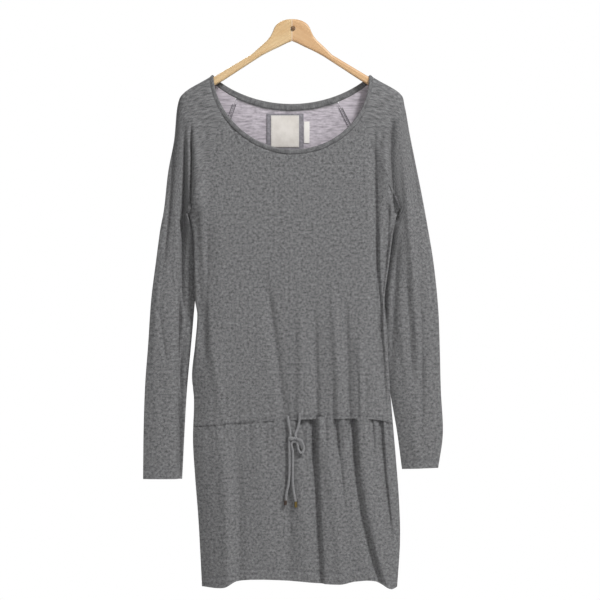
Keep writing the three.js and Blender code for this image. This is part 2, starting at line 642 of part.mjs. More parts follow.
function halfRing(side, face, station) {
  const facing = face === "front" ? -1 : 1;
  const seam = seamRing(side, face);
  const steps = seam.length - 1;
  const shares = tubeShares(steps);
  const start = sleeveSection(side, 0);
  const here = sleeveSection(side, station);
  const fade = (1 - clamp01(station / FAN)) ** 2;
  const spread = ease(station / SPREAD);
  const seamSpan = start.outer.distanceTo(start.inner);
  const span = here.outer.distanceTo(here.inner);
  return seam.map((edge, k) => {
    const below = Math.hypot(edge.x - start.outer.x, edge.drop - start.outer.y);
    const seamShare = clamp01(1 - below / seamSpan);
    const share = k === 0 ? 0 : k === steps ? 1 : mix(seamShare, shares[k], spread);
    const chord = start.inner.clone().lerp(start.outer, k === 0 ? 0 : k === steps ? 1 : seamShare);
    const place = here.inner.clone().lerp(here.outer, share);
    const own = k === 0 ? start.inner : new THREE.Vector2(edge.x, edge.drop);
    place.add(own.clone().sub(chord).multiplyScalar(fade));
    const fromOuter = (1 - share) * span;
    const fromInner = share * span;
    const taper = 1 - (1 - clamp01(fromInner / INNER_LENS)) ** 2;
    const tube = ridgeHalf(fromOuter, here.radius, here.half, TUBE_GROWTH) * taper;
    const folds = face === "front" ? [...BODICE_FOLDS, ...SLEEVE_FOLDS] : [];
    const plain = mix(tube, edge.half, fade) + foldRise(folds, place.x, place.y) * taper;
    const end = k === 0 || k === steps;
    const half = end ? 0 : HALF_GAP + Math.max(THINNEST, plain);
    const y = here.back * mix(1, OUTER_SWING, share) + facing * half;
    place.x = clearOfBody(side, face, place, station, y);
    return {
      point: new THREE.Vector3(place.x, y, -place.y),
      pull: edge.pull,
    };
  });
}

function sleeve(side) {
  const rings = RING_STATIONS.map((station) => {
    const front = halfRing(side, "front", station);
    const back = halfRing(side, "back", station).slice(1, -1).reverse();
    return [...front, ...back];
  });
  const count = rings[0].length;
  const inner = rings.map((ring) => ring.map((item) => item.point));
  const outer = rings.map((ring, r) =>
    ring.map((item, c) => {
      const before = rings[Math.max(0, r - 1)][c].point;
      const after = rings[Math.min(rings.length - 1, r + 1)][c].point;
      const round = ring[(c + 1) % count].point.clone().sub(ring[(c + count - 1) % count].point);
      const out = round.cross(after.clone().sub(before)).normalize().multiplyScalar(-signOf(side));
      const armpit = c === 0;
      const hold = armpit ? 0 : (1 - clamp01(RING_STATIONS[r] / WALL_TURN)) ** 2;
      if (armpit && r === 0) out.copy(sleeveEdgeOut(side));
      out.lerp(item.pull, hold).normalize();
      return item.point.clone().addScaledVector(out, WALL);
    }),
  );
  return shell(`sleeve_${side}`, inner, outer, true, cloth(COLOURS.sleeve));
}

// At the armpit the wall ends on the seam's own corner
function sleeveEdgeOut(side) {
  const start = sleeveSection(side, 0);
  const out = start.inner.clone().sub(start.outer).normalize();
  return new THREE.Vector3(out.x, 0, -out.y);
}

// Rolled band round the neck opening. Its section runs from the free edge to the seam.
function neckband(frontColumns, backColumns) {
  const section = [
    { across: 0, out: 0.3 },
    { across: 1.1, out: -0.1 },
    { across: NECK.band, out: 0 },
    { across: NECK.band, out: WALL },
    { across: 1.4, out: WALL + 0.9 },
    { across: 0, out: WALL + 0.2 },
  ];
  const stops = [];
  const between = (face, columns) => {
    for (let c = 1; c < columns; c++)
      stops.push({ face, angle: mix(RAGLAN.left[face], RAGLAN.right[face], c / columns) });
  };
  for (const angle of sleeveNeckAngles("left", "front")) stops.push({ face: "front", angle });
  between("front", frontColumns);
  for (const angle of sleeveNeckAngles("right", "front").reverse()) stops.push({ face: "front", angle });
  for (const angle of sleeveNeckAngles("right", "back").slice(1)) stops.push({ face: "back", angle });
  const firstBack = stops.length;
  between("back", backColumns);
  const backRun = stops.splice(firstBack).reverse();
  stops.push(...backRun);
  for (const angle of sleeveNeckAngles("left", "back").slice(1).reverse()) stops.push({ face: "back", angle });
  const grid = section.map(({ across, out }) =>
    stops.map(({ face, angle }) => {
      const edge = neckPoint(angle, face, across);
      return new THREE.Vector3(edge.x, edge.y, -edge.drop).addScaledVector(edge.normal, out);
    }),
  );
  const count = stops.length;
  const faces = [];
  for (let r = 0; r < section.length; r++)
    for (let c = 0; c < count; c++) {
      const a = r * count + c;
      const b = r * count + ((c + 1) % count);
      const next = ((r + 1) % section.length) * count;
      const d = next + c;
      const e = next + ((c + 1) % count);
      faces.push(a, b, e, a, e, d);
    }
  const positions = grid.flat().flatMap((point) => point.toArray());
  return solid("neckband", positions, faces, cloth(COLOURS.band));
}

// Label on the inside of the back panel, made from the panel's own surface
function label(name) {
  const { left, right, top, bottom, lift, thickness, colour } = LABELS[name];
  const [rows, columns] = LABEL_GRID;
  const inner = [];
  const outer = [];
  for (let r = 0; r <= rows; r++) {
    const drop = mix(top, bottom, r / rows);
    const y = HALF_GAP + read(BODY_HALF, "drop", drop, "half") - LABEL_GAP - lift;
    const line = (depth) =>
      Array.from({ length: columns + 1 }, (_, c) => new THREE.Vector3(mix(left, right, c / columns), depth, -drop));
    inner.push(line(y - thickness));
    outer.push(line(y));
  }
  return shell(name, inner, outer, false, cloth(colour));
}

// Outside of the front cloth near its middle, where the drawstring lies
function frontY(x, drop) {
  const below = drop > waistDrop(x) + SEAM;
  const onCasing = !below && drop > waistDrop(x) - CASING;
  const folds = below ? SKIRT_FOLDS : onCasing ? [] : BODICE_FOLDS;
  const half = read(BODY_HALF, "drop", drop, "half") + foldRise(folds, x, drop);
  return -(HALF_GAP + half + (onCasing ? CASING_WALL : WALL));
}

// The cord hangs straight down over the small folds, so its depth follows the cloth that stands out most
function clothY(x, drop) {
  const { across, down } = CORD_REACH;
  const depths = [-across, 0, across].flatMap((dx) => [-down, 0, down].map((dz) => frontY(x + dx, drop + dz)));
  return Math.min(...depths);
}

function cord(name) {
  const stops = CORD_STRETCHES[name].map(
    ({ x, drop, out }) => new THREE.Vector3(x, clothY(x, drop) - out, -drop),
  );
  const route = new THREE.CatmullRomCurve3(stops, false, "centripetal");
  const section = new THREE.Shape();
  for (let k = 0; k < CORD_SIDES; k++) {
    const turn = (2 * Math.PI * k) / CORD_SIDES;
    const [x, y] = [(CORD / 2) * Math.cos(turn), (CORD / 2) * Math.sin(turn)];
    if (k === 0) section.moveTo(x, y);
    else section.lineTo(x, y);
  }
  const steps = Math.max(4, Math.round(route.getLength() / CORD_STEP));
  const geometry = new THREE.ExtrudeGeometry(section, { steps, extrudePath: route });
  const mesh = new THREE.Mesh(geometry, cloth(COLOURS.cord));
  mesh.name = name;
  return mesh;
}

function knot() {
  const geometry = new THREE.SphereGeometry(1, 14, 8);
  geometry.scale(KNOT.halfWidth, KNOT.halfDepth, KNOT.halfHeight);
  const mesh = new THREE.Mesh(geometry, cloth(COLOURS.cord));
  mesh.position.set(KNOT.x, clothY(KNOT.x, KNOT.drop) - KNOT.out, -KNOT.drop);
  mesh.name = "drawstring_knot";
  return mesh;
}

function tip(name) {
  const { x, top, bottom, colour, metalness } = TIPS[name];
  const profile = [
    new THREE.Vector2(0, 0),
    new THREE.Vector2(TIP_RADIUS - TIP_BEVEL.in, 0),
    new THREE.Vector2(TIP_RADIUS, TIP_BEVEL.along),
    new THREE.Vector2(TIP_RADIUS, bottom - top - TIP_BEVEL.along),
    new THREE.Vector2(TIP_RADIUS - TIP_BEVEL.in, bottom - top),
    new THREE.Vector2(0, bottom - top),
  ];
  const geometry = new THREE.LatheGeometry(profile, 12);
  geometry.rotateX(Math.PI / 2);
  const material = new THREE.MeshStandardMaterial({ color: colour, roughness: 0.45, metalness });
  const mesh = new THREE.Mesh(geometry, material);
  mesh.position.set(x, clothY(x, top) - CORD_REST, -bottom);
  mesh.name = name;
  return mesh;
}

// Slices across one half of the hanger, from the joint in the middle of its head to the end of the arm.
// Past the head the top edge runs under the shoulder ridge, on the same slope.
function hangerSlices(side) {
  const sign = signOf(side);
  const neckEdge = Math.abs(NECK.middle + sign * NECK.halfWidth);
  const rest = HANGER_REST / Math.cos(Math.atan(RIDGE.slope));
  const underShoulder = (x) => -(NECK.top + (sign * x - neckEdge) * RIDGE.slope + rest);
  return HANGER_SLICES.map(({ reach, top, bottom }) => {
    const x = HANGER.joint + sign * Math.max(reach, HANGER.jointGap / 2);
    return { x, top: top === null ? underShoulder(x) : top, bottom };
  });
}

function asSolid(geometry) {
  geometry.deleteAttribute("normal");
  geometry.deleteAttribute("uv");
  const merged = mergeVertices(geometry, 1e-4);
  return new wasm.Manifold(
    new wasm.Mesh({
      numProp: 3,
      vertProperties: merged.attributes.position.array,
      triVerts: new Uint32Array(merged.index.array),
    }),
  );
}

// Half of the hanger, with the hole for the peg cut through it
function hangerArm(side) {
  const rings = hangerSlices(side).map(({ x, top, bottom }) => {
    const round = Math.min(HANGER.round, (top - bottom) * HANGER.slimRound);
    const halfHeight = (top - bottom) / 2;
    const points = [];
    for (let k = 0; k < 16; k++) {
      const quarter = Math.floor(k / 4);
      const turn = radians(90 * quarter + 30 * (k % 4));
      const toRight = quarter === 0 || quarter === 3 ? 1 : -1;
      const up = quarter < 2 ? 1 : -1;
      const y = toRight * (HANGER.thickness / 2 - round) + round * Math.cos(turn);
      const z = (top + bottom) / 2 + up * (halfHeight - round) + round * Math.sin(turn);
      points.push(new THREE.Vector3(x, y, z));
    }
    return points;
  });
  const count = rings[0].length;
  const positions = rings.flat().flatMap((point) => point.toArray());
  const faces = [];
  for (let r = 0; r < rings.length - 1; r++)
    for (let k = 0; k < count; k++) {
      const a = r * count + k;
      const b = r * count + ((k + 1) % count);
      faces.push(a, b, b + count, a, b + count, a + count);
    }
  for (const end of [0, rings.length - 1])
    for (let k = 1; k < count - 1; k++) {
      const fan = [end * count, end * count + k, end * count + k + 1];
      faces.push(...(end === 0 ? fan.toReversed() : fan));
    }
  const bar = solid("bar", positions, faces, null);
  const hole = new THREE.CylinderGeometry(PEG.hole, PEG.hole, 3 * HANGER.thickness, 24);
  const cut = asSolid(bar.geometry).subtract(asSolid(hole)).getMesh();
  const colour = side === "left" ? COLOURS.beech : COLOURS.beechDark;
  const material = new THREE.MeshStandardMaterial({ color: colour, roughness: 0.5 });
  return solid(`hanger_arm_${side}`, [...cut.vertProperties], [...cut.triVerts], material);
}

// Peg through the hanger's head, with a low domed end to the front
function peg() {
  const profile = [
    new THREE.Vector2(0, 0),
    new THREE.Vector2(PEG.radius * PEG.flat, PEG.dome / 3),
    new THREE.Vector2(PEG.radius, PEG.dome),
    new THREE.Vector2(PEG.radius, PEG.front + PEG.back),
    new THREE.Vector2(0, PEG.front + PEG.back),
  ];
  const mesh = new THREE.Mesh(
    new THREE.LatheGeometry(profile, 20),
    new THREE.MeshStandardMaterial({ color: COLOURS.peg, roughness: 0.5 }),
  );
  mesh.position.y = -PEG.front;
  mesh.name = "hanger_peg";
  return mesh;
}

const FRONT_COLUMNS = 40;
const BACK_COLUMNS = 28;

const dress = new THREE.Group();
dress.add(
  bodice("bodice_front", "front", BODICE_FOLDS, 15, FRONT_COLUMNS, COLOURS.front),
  bodice("bodice_back", "back", BODICE_BACK_FOLDS, 12, BACK_COLUMNS, COLOURS.back),
  sleeve("left"),
  sleeve("right"),
  neckband(FRONT_COLUMNS, BACK_COLUMNS),
  casing("casing_front", "front", FRONT_COLUMNS),
  casing("casing_back", "back", BACK_COLUMNS),
  skirt("skirt_front", "front", SKIRT_FOLDS, 8, FRONT_COLUMNS, COLOURS.front),
  skirt("skirt_back", "back", SKIRT_BACK_FOLDS, 7, BACK_COLUMNS, COLOURS.back),
);
for (const name of Object.keys(LABELS)) dress.add(label(name));

const drawstring = new THREE.Group();
for (const name of Object.keys(CORD_STRETCHES)) drawstring.add(cord(name));
drawstring.add(knot());
for (const name of Object.keys(TIPS)) drawstring.add(tip(name));

const hanger = new THREE.Group();
hanger.add(hangerArm("left"), hangerArm("right"), peg());

const hungDress = new THREE.Group();
hungDress.add(dress, drawstring, hanger);

export default hungDress;
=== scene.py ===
import bisect
import math
import random
from collections import namedtuple

import bmesh
import bpy
from mathutils import Matrix, Vector, noise


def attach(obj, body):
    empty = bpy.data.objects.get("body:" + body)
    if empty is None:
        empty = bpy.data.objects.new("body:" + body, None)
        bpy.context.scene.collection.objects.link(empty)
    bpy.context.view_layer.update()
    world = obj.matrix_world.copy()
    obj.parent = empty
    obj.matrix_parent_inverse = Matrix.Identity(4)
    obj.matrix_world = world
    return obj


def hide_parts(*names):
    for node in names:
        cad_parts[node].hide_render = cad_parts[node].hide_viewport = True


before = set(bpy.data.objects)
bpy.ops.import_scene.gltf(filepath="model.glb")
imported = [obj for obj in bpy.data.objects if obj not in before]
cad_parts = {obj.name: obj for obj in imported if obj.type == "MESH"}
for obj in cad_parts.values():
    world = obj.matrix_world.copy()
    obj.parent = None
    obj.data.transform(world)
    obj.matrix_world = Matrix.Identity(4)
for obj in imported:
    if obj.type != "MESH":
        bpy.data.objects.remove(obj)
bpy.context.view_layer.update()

# Fine-knit sweater dress on a wooden hanger. Lengths in the tables and functions are millimetres, as in the
# part's source, and become metres where a vertex is placed. A "drop" is a height measured down from the peg.
MM = 0.001

# Cloth
WALL = 1.8
CASING_WALL = 2.6
CASING_SHOWN = 2  # the cord's seat allows for CASING_WALL, but the casing hardly stands out
SEAM = 0.12  # pieces that are sewn together all but touch
HALF_GAP = 0.2
EDGE_LENS = 50
SIDE_ROLL = 2.4  # folds end this far from a closed side edge
ARMPIT_LENS = 34
FOLD_FADE = 0.25
FULL_EDGE = 6  # an edge this thick holds its folds to the end
DRAPE_FADE = 12

# Neck opening, shoulders and armholes
NECK = {"middle": -3, "top": 83, "half_width": 136, "front_dip": 129.5, "back_dip": 52.5, "band": 7.3}
NECK_POWER = {"left": 1.85, "right": 2.05, "back": 1.6}
RIDGE = {"radius": 7.8, "half": 15, "growth": 40, "slope": 0.6}
RIDGE_LEAN = math.atan(RIDGE["slope"])
RAGLAN = {
    "left": {"front": 150.7, "back": 133, "armpit_x": -182, "armpit_drop": 324.6},
    "right": {"front": 29, "back": 55, "armpit_x": 186.4, "armpit_drop": 315.9},
}
RAGLAN_BOW = 4
CASING = 14

Fold = namedtuple("Fold", "start end top middle bottom width rise right", defaults=(1,))


def table(columns, *rows):
    """Rows of numbers, each as a dictionary with these column names."""
    names = columns.split()
    return [dict(zip(names, row)) for row in rows]


SIDES = {
    "left": table(
        "drop x",
        (324.6, -182), (346, -176.8), (372, -174), (423, -173.3), (475, -171.5), (501, -167.5),
        (554, -171.5), (606, -176.8), (650, -173.3), (720, -175), (781, -171.5), (860, -165.4), (980, -159),
    ),
    "right": table(
        "drop x", (315.9, 186.4), (330, 181), (353, 175.9), (414, 168), (475, 160.1), (528, 164.5),
        (615, 168.9), (682, 174.1), (755, 180.3), (825, 185.5), (895, 187.3), (980, 182),
    ),
}
BODY_HALF = table(
    "drop half", (140, 12.9), (220, 14.6), (330, 15.5), (500, 16), (690, 16.5), (780, 19), (980, 22)
)
WAIST = table(
    "x drop",
    (-175, 696.5), (-119, 692), (-54, 686), (12, 680), (65, 678), (117, 678), (143, 681.6), (175, 692)
)
HEM = table(
    "x drop", (-160, 975.6), (-121, 976.5), (-98, 965), (-58, 961.6), (0, 963.4), (80, 968.6), (110, 963),
    (143, 962.5), (171, 976.5), (184, 972),
)
SLEEVE_COLUMNS = "n outer_x outer_drop inner_x inner_drop radius half back"
SLEEVES = {
    "left": table(
        SLEEVE_COLUMNS,
        (1, -154, 89.9, -182, 332, 7.8, 14, 0),
        (2, -189.5, 111.2, -180, 341, 7.2, 13, 2),
        (3, -202, 133.9, -178, 349, 3.6, 12.5, 6),
        (4, -208.3, 195, -174.5, 362, 2.4, 12, 10),
        (5, -218.8, 251, -171.5, 380, 1.6, 11.5, 12),
        (6, -225.8, 314, -170.6, 402, 1.4, 11, 12),
        (7, -232.8, 352.6, -170.6, 428, 1.4, 10.5, 11.5),
        (8, -239.8, 405, -170.8, 457, 1.4, 10, 11),
        (9, -248.5, 475, -174, 500, 1.4, 9.5, 9),
        (10, -253.8, 554, -179.4, 562, 1.4, 9, 7),
        (11, -259, 624, -185.5, 628, 1.4, 8.5, 6),
        (12, -261.6, 702, -190, 704, 1.4, 8, 5),
        (13, -262.5, 788.4, -194.3, 788.4, 1.4, 7.5, 4),
    ),
    "right": table(
        SLEEVE_COLUMNS,
        (1, 148, 89.9, 185, 323, 7.8, 14, 0),
        (2, 187, 113.4, 181, 333, 7.2, 13, 2),
        (3, 196, 138, 178, 343, 3.6, 12.5, 6),
        (4, 204.8, 186.4, 174.5, 356, 2.4, 12, 10),
        (5, 215.3, 238.9, 171, 375, 1.6, 11.5, 12),
        (6, 225.8, 291.4, 167.6, 398, 1.4, 11, 12),
        (7, 236.3, 349.1, 163.5, 427, 1.4, 10.5, 12),
        (8, 246.8, 413.9, 158.4, 464, 1.4, 10, 12),
        (9, 254.5, 490, 159, 508, 1.4, 10, 12),
        (10, 257.3, 562.6, 163.4, 566, 1.4, 9.5, 12),
        (11, 259, 632.6, 170, 634, 1.4, 9, 10),
        (12, 262.5, 708, 182, 704, 1.4, 8, 7),
        (13, 254.2, 769, 190.8, 771, 1.4, 7.5, 5),
    ),
}
LAST_STATION = 13
FAN = 5
SPREAD = 4
INNER_LENS = 34
TUBE_GROWTH = 16
OUTER_SWING = 0.6
THINNEST = 0.3
ARMPIT_CLEAR = {"gap": 3.9, "over": 0.4}
TUCK = 3
BEHIND = {"from": 4.2, "to": 6.2, "station": 2.6}
SUNK = {
    "left": {
        "depth": 5, "flat": 20, "over": 6, "end": 700,
        "folds": [Fold(200, 900, -188, -201, -197, 3.6, -12, 2.6)],
    },
    "right": {"depth": 8, "flat": 1, "over": 10, "end": 560, "folds": []},
}
SINK_FADE = {"start": 30, "end": 110}
SLEEVE_LENGTH = 600
WALL_ROOM = 3
ROW_CROWD = 1.35
NECK_STEPS = 6
SHOULDER_CROWD = {"front": 2.55, "back": 1.375}
RAGLAN_STOPS = [1, 0.95, 0.85, 0.71, 0.57, 0.43, 0.28, 0.13]

# Main folds, as in the solids: start and end drops, three x places down the fold, width, and rise of the
# cloth, which is a trough where it is negative
BODICE_FOLDS = [
    Fold(160, 690, 141.8, 149.5, 167, 8, -3.4),
    Fold(150, 660, 162.8, 160, 174, 7, 2.2),
    Fold(140, 330, 175, 175, 177, 6, -4.6),
    Fold(185, 335, -175, -175, -177, 5, -3.6),
    Fold(150, 690, -166, -154, -122, 12, 2.4),
    Fold(330, 590, -147, -150, -153, 11, -2),
    Fold(440, 720, -46, -24.5, -6, 9, -2.2),
    Fold(500, 730, 12, 15.8, 11, 8, 2.4),
    Fold(510, 730, 37, 41, 44, 8, -2.2),
    Fold(470, 730, 68, 79, 82, 8, 2.2),
    Fold(500, 730, 93, 97, 101, 8, -2.2),
    Fold(540, 730, 117, 117, 118, 8, 2),
]
SKIRT_FOLDS = [
    Fold(620, 970, 32, 42, 53, 8, -3.6),
    Fold(620, 980, 100, 119, 152, 8, -3.6),
    Fold(620, 870, 143, 158, 171, 8, -2.8),
    Fold(640, 800, 71, 80, 90, 8, -2.2),
    Fold(640, 890, 128, 145, 157, 8, -1.6),
    Fold(640, 790, 10, 22, 31, 8, -1.8),
    Fold(680, 1040, -126, -114, -117, 16, 2.6),
    Fold(640, 1040, 44, 76, 94, 13, 2.8),
    Fold(640, 1000, 110, 131, 170, 10, 2.4),
    Fold(700, 1000, 10, 17.5, 24, 10, 2),
    Fold(640, 960, -90, -92, -93, 16, -1.6),
    Fold(690, 990, -12, -6, -3, 10, -1.6),
]
SLEEVE_FOLDS = [
    Fold(170, 760, -185.5, -199, -203, 7, -3),
    Fold(190, 410, -209, -216, -229, 6, -1.6),
    Fold(190, 620, 183.8, 209, 226, 9, 2.4),
    Fold(420, 640, 199, 206, 212, 7, -2),
    Fold(180, 340, 203, 213, 223, 6, -1.6),
]
BODICE_BACK_FOLDS = [
    Fold(300, 690, -140, -146, -150, 10, -2.6),
    Fold(330, 690, 138, 132, 128, 12, -2.2),
    Fold(240, 620, -70, -62, -48, 18, 1.8),
    Fold(260, 600, 60, 66, 74, 18, 1.8),
    Fold(500, 730, -96, -90, -84, 9, -2.2),
    Fold(520, 730, -34, -28, -26, 9, -2.2),
    Fold(490, 730, 14, 20, 24, 9, -2.2),
    Fold(520, 730, 96, 90, 88, 9, -2),
]
SKIRT_BACK_FOLDS = [
    Fold(620, 960, -132, -138, -144, 10, -3),
    Fold(620, 900, -88, -84, -78, 9, -2.6),
    Fold(620, 1000, -30, -36, -42, 10, -3.2),
    Fold(620, 860, 22, 26, 34, 9, -2.4),
    Fold(620, 1000, 84, 92, 104, 10, -3.2),
    Fold(620, 880, 130, 134, 140, 9, -2.4),
    Fold(660, 1040, -60, -62, -60, 14, 2.6),
    Fold(660, 1040, 54, 60, 68, 14, 2.6),
]

# Finer creases. Some sharpen a main fold. The last number, where there is one, is how wide
# the crease is on its right side, as a share of its width on the left
BODICE_CREASES = [
    Fold(140, 700, 143.5, 148, 166, 7, -5, 0.4),
    Fold(290, 660, 153, 156, 171, 3.4, 2.6),
    Fold(290, 450, 168, 164.5, 160, 5.5, -6.5, 0.6),
    Fold(140, 350, 166.5, 163.5, 182, 7, 3, 0.3),
    Fold(150, 350, 172.5, 170.5, 187, 3.6, -9, 1.6),
    Fold(300, 560, 186, 163.5, 159, 2.6, 4.2),
    Fold(330, 600, 145.5, 149, 156, 4, -3, 0.4),
    Fold(160, 335, -177.5, -177, -178, 3, -7, 0.7),
    Fold(150, 345, -173.4, -173, -175, 2.4, 4.5, 3),
    Fold(300, 620, -181, -171, -170, 4, 4.5, 1.8),
    Fold(150, 720, -164, -154, -122, 7, 2.4),
    Fold(330, 600, -150, -151, -154, 6, -2.4, 0.6),
    Fold(166, 212, -110, -102, -93, 3, -1.8),
    Fold(200, 420, 128, 133, 139, 5, 0.8),
    Fold(400, 740, -52, -28, -7, 10, -3, 0.4),
    Fold(440, 740, 14, 13, 12.5, 6, 2),
    Fold(560, 750, 24, 25, 24, 4, 1.4),
    Fold(460, 740, 36, 41, 44, 7, -2.4, 0.5),
    Fold(420, 740, 66, 76, 83, 6, 2.4),
    Fold(460, 740, 91, 96, 100, 7, -2.4, 0.5),
    Fold(520, 740, 116, 117, 118, 5, 2),
    Fold(610, 740, 16, 17.5, 18, 2.6, -1.6),
    Fold(600, 740, 25, 26.3, 27, 2.6, -1.2),
    Fold(590, 750, 68, 70, 72, 2.8, -1.8),
    Fold(570, 760, 112, 114.6, 116, 2.8, -1.8),
    Fold(600, 740, 127, 128.6, 130, 2.6, -1.6),
    Fold(560, 760, 150, 154, 158, 3, -2),
    Fold(600, 740, 160, 162, 164, 2.6, -1.6),
    Fold(340, 520, 140, 143, 149, 5, 0.7),
    Fold(230, 420, -136, -133, -130, 9, 0.9),
    Fold(560, 700, -146, -138, -130, 6, -0.9),
    Fold(600, 740, -62, -58, -55, 4, -0.8),
    Fold(620, 740, -100, -98, -96, 4, -0.7),
]
SKIRT_CREASES = [
    Fold(590, 1150, 35, 45, 64, 10, -8, 0.28),
    Fold(600, 1150, 41, 52, 72, 4, 4, 6),
    Fold(560, 1150, 114, 125, 238, 12, -8.5, 0.28),
    Fold(580, 1150, 119, 131, 242, 4, 4, 4),
    Fold(600, 920, 150, 159, 178, 7, -7, 0.35),
    Fold(640, 840, 71, 80, 92, 6, -3.6, 0.5),
    Fold(700, 1020, 60, 74, 92, 8, 2),
    Fold(630, 762, 73, 76, 80, 4, -3.4, 0.6),
    Fold(630, 742, 92.8, 94.6, 97, 4, -3.4, 0.6),
    Fold(620, 730, 163, 164.5, 166, 4, -3.6, 0.6),
    Fold(600, 790, 35, 36, 38, 5, -4.4, 0.4),
    Fold(600, 790, 107, 110, 114, 5, -4.4, 0.4),
    Fold(620, 760, 137, 139, 143, 4.5, -3.4, 0.6),
    Fold(620, 760, 153, 156, 159, 5, -4, 0.5),
    Fold(630, 740, 56, 57, 59, 4, -2.4, 0.6),
    Fold(630, 740, 20, 21, 23, 4, -2.4, 0.6),
    Fold(630, 800, 8, 17, 28, 6, -3, 0.6),
    Fold(620, 740, 45, 47, 50, 3.4, 2.2),
    Fold(620, 740, 65, 66, 69, 3.4, 2),
    Fold(620, 740, 84, 86, 88, 3.4, 2.2),
    Fold(620, 760, 122, 125, 131, 4.4, 2.4),
    Fold(620, 740, 147, 148, 150, 3.4, 2),
    Fold(680, 1140, -126, -114, -117, 9, 3),
    Fold(700, 1140, -101, -94, -95, 14, -4, 0.6),
    Fold(690, 1100, -14, -8, -4, 14, -3.4, 0.6),
    Fold(650, 750, -48, -47, -46, 4, -1.4),
    Fold(650, 760, -78, -76, -75, 4, -1.2),
    Fold(660, 800, -150, -148, -147, 6, -1),
    Fold(700, 960, -60, -52, -44, 14, 1.8),
    Fold(760, 1040, 122, 131, 139, 6, 1),
]
SLEEVE_CREASES = [
    Fold(160, 400, -188.5, -188.5, -190, 5, -6, 0.5),
    Fold(150, 400, -182.5, -182, -180, 2.6, 2.6),
    Fold(170, 430, -207, -214, -229, 5, -3.4, 0.6),
    Fold(420, 600, -236, -240, -245, 6, 1.8),
    Fold(400, 520, -214, -209, -202, 5, -2, 0.6),
    Fold(470, 600, -236, -228, -218, 5, -2, 0.6),
    Fold(600, 740, -244, -238, -236, 6, 1.2),
    Fold(300, 420, -206, -204, -202, 4, 1.2),
    Fold(140, 700, 184, 209, 224, 5, 3),
    Fold(430, 720, 222, 226, 226, 7, -3.6, 0.5),
    Fold(410, 620, 199, 203, 210, 6, -2, 0.5),
    Fold(170, 340, 203, 213, 223, 5, -3, 0.6),
    Fold(340, 640, 186, 176, 170, 7, -8),
    Fold(430, 560, 222, 214, 204, 5, -1.8),
    Fold(520, 660, 236, 226, 214, 5, -1.8),
    Fold(480, 640, 176, 184, 194, 5, -1.8),
    Fold(620, 750, 220, 214, 212, 6, 1.6),
    Fold(700, 790, 200, 216, 232, 8, 1.4),
]
SLEEVE_BACK_FOLDS = [
    Fold(240, 700, -196, -214, -222, 9, -2),
    Fold(380, 640, -206, -196, -204, 7, 1.6),
    Fold(240, 700, 196, 214, 222, 9, -2),
    Fold(400, 660, 232, 238, 240, 7, 1.6),
]

random.seed(41)


def waist_gathers(edge, left, right, spacing, depth, up):
    """Small uneven puckers where cloth is sewn into the casing, which fade up or down from the seam."""
    puckers = []
    x = left
    while x < right:
        x += random.uniform(*spacing)
        seam = edge(x)
        reach = random.uniform(18, 62)
        near = 30
        lean = random.uniform(-0.06, 0.06) * reach
        start, end = (seam - reach, seam + near) if up else (seam - near, seam + reach)
        width = random.uniform(2.2, 3.6)
        rise = -random.uniform(*depth)
        puckers.append(Fold(start, end, x - lean, x, x + lean, width, rise))
    return puckers


def smooth_curve(rows, key, column):
    """A table's column as a smooth curve through its rows."""
    keys = [row[key] for row in rows]
    values = [row[column] for row in rows]
    last = len(rows) - 1

    def slope(n):
        before, after = max(0, n - 1), min(last, n + 1)
        return (values[after] - values[before]) / (keys[after] - keys[before])

    slopes = [slope(n) for n in range(last + 1)]

    def at(place):
        place = min(keys[-1], max(keys[0], place))
        i = min(last - 1, max(0, bisect.bisect_right(keys, place) - 1))
        span = keys[i + 1] - keys[i]
        t = (place - keys[i]) / span
        chord = (values[i + 1] - values[i]) / span
        bend_start = (slopes[i] - chord) * span * t * (1 - t) ** 2
        bend_end = (chord - slopes[i + 1]) * span * t**2 * (1 - t)
        return values[i] + chord * span * t + bend_start + bend_end

    return at


def mix(a, b, t):
    return a + (b - a) * t


def clamp01(t):
    return min(1.0, max(0.0, t))


def ease(t):
    return clamp01(t) ** 2 * (3 - 2 * clamp01(t))


def sign_of(side):
    return -1 if side == "left" else 1


side_x = {side: smooth_curve(SIDES[side], "drop", "x") for side in SIDES}
body_half = smooth_curve(BODY_HALF, "drop", "half")
waist_drop = smooth_curve(WAIST, "x", "drop")
hem_drop = smooth_curve(HEM, "x", "drop")


def fold_rise(folds, x, drop):
    rise = 0.0
    for fold in folds:
        if not fold.start < drop < fold.end:
            continue
        t = (drop - fold.start) / (fold.end - fold.start)
        bend = fold.middle - (fold.top + fold.bottom) / 2
        path = mix(fold.top, fold.bottom, t) + 4 * bend * t * (1 - t)
        away = abs(x - path) / (fold.width * (fold.right if x > path else 1))
        if away > 3:
            continue
        rise += fold.rise * ease(t / FOLD_FADE) * ease((1 - t) / FOLD_FADE) * math.exp(-away * away)
    return rise


def drape(x, drop, seed):
    """Soft unevenness of hanging cloth, the same on both sides of a seam."""
    wide = noise.noise(Vector((x / 46, drop / 120, seed)))
    fine = noise.noise(Vector((x / 17, drop / 52, seed + 7)))
    return 0.7 * wide + 0.28 * fine


def ridge_half(below, radius, half, growth):
    if below < radius:
        return math.sqrt(max(0, radius**2 - (radius - below) ** 2))
    return radius + (half - radius) * (1 - math.exp((radius - below) / growth))


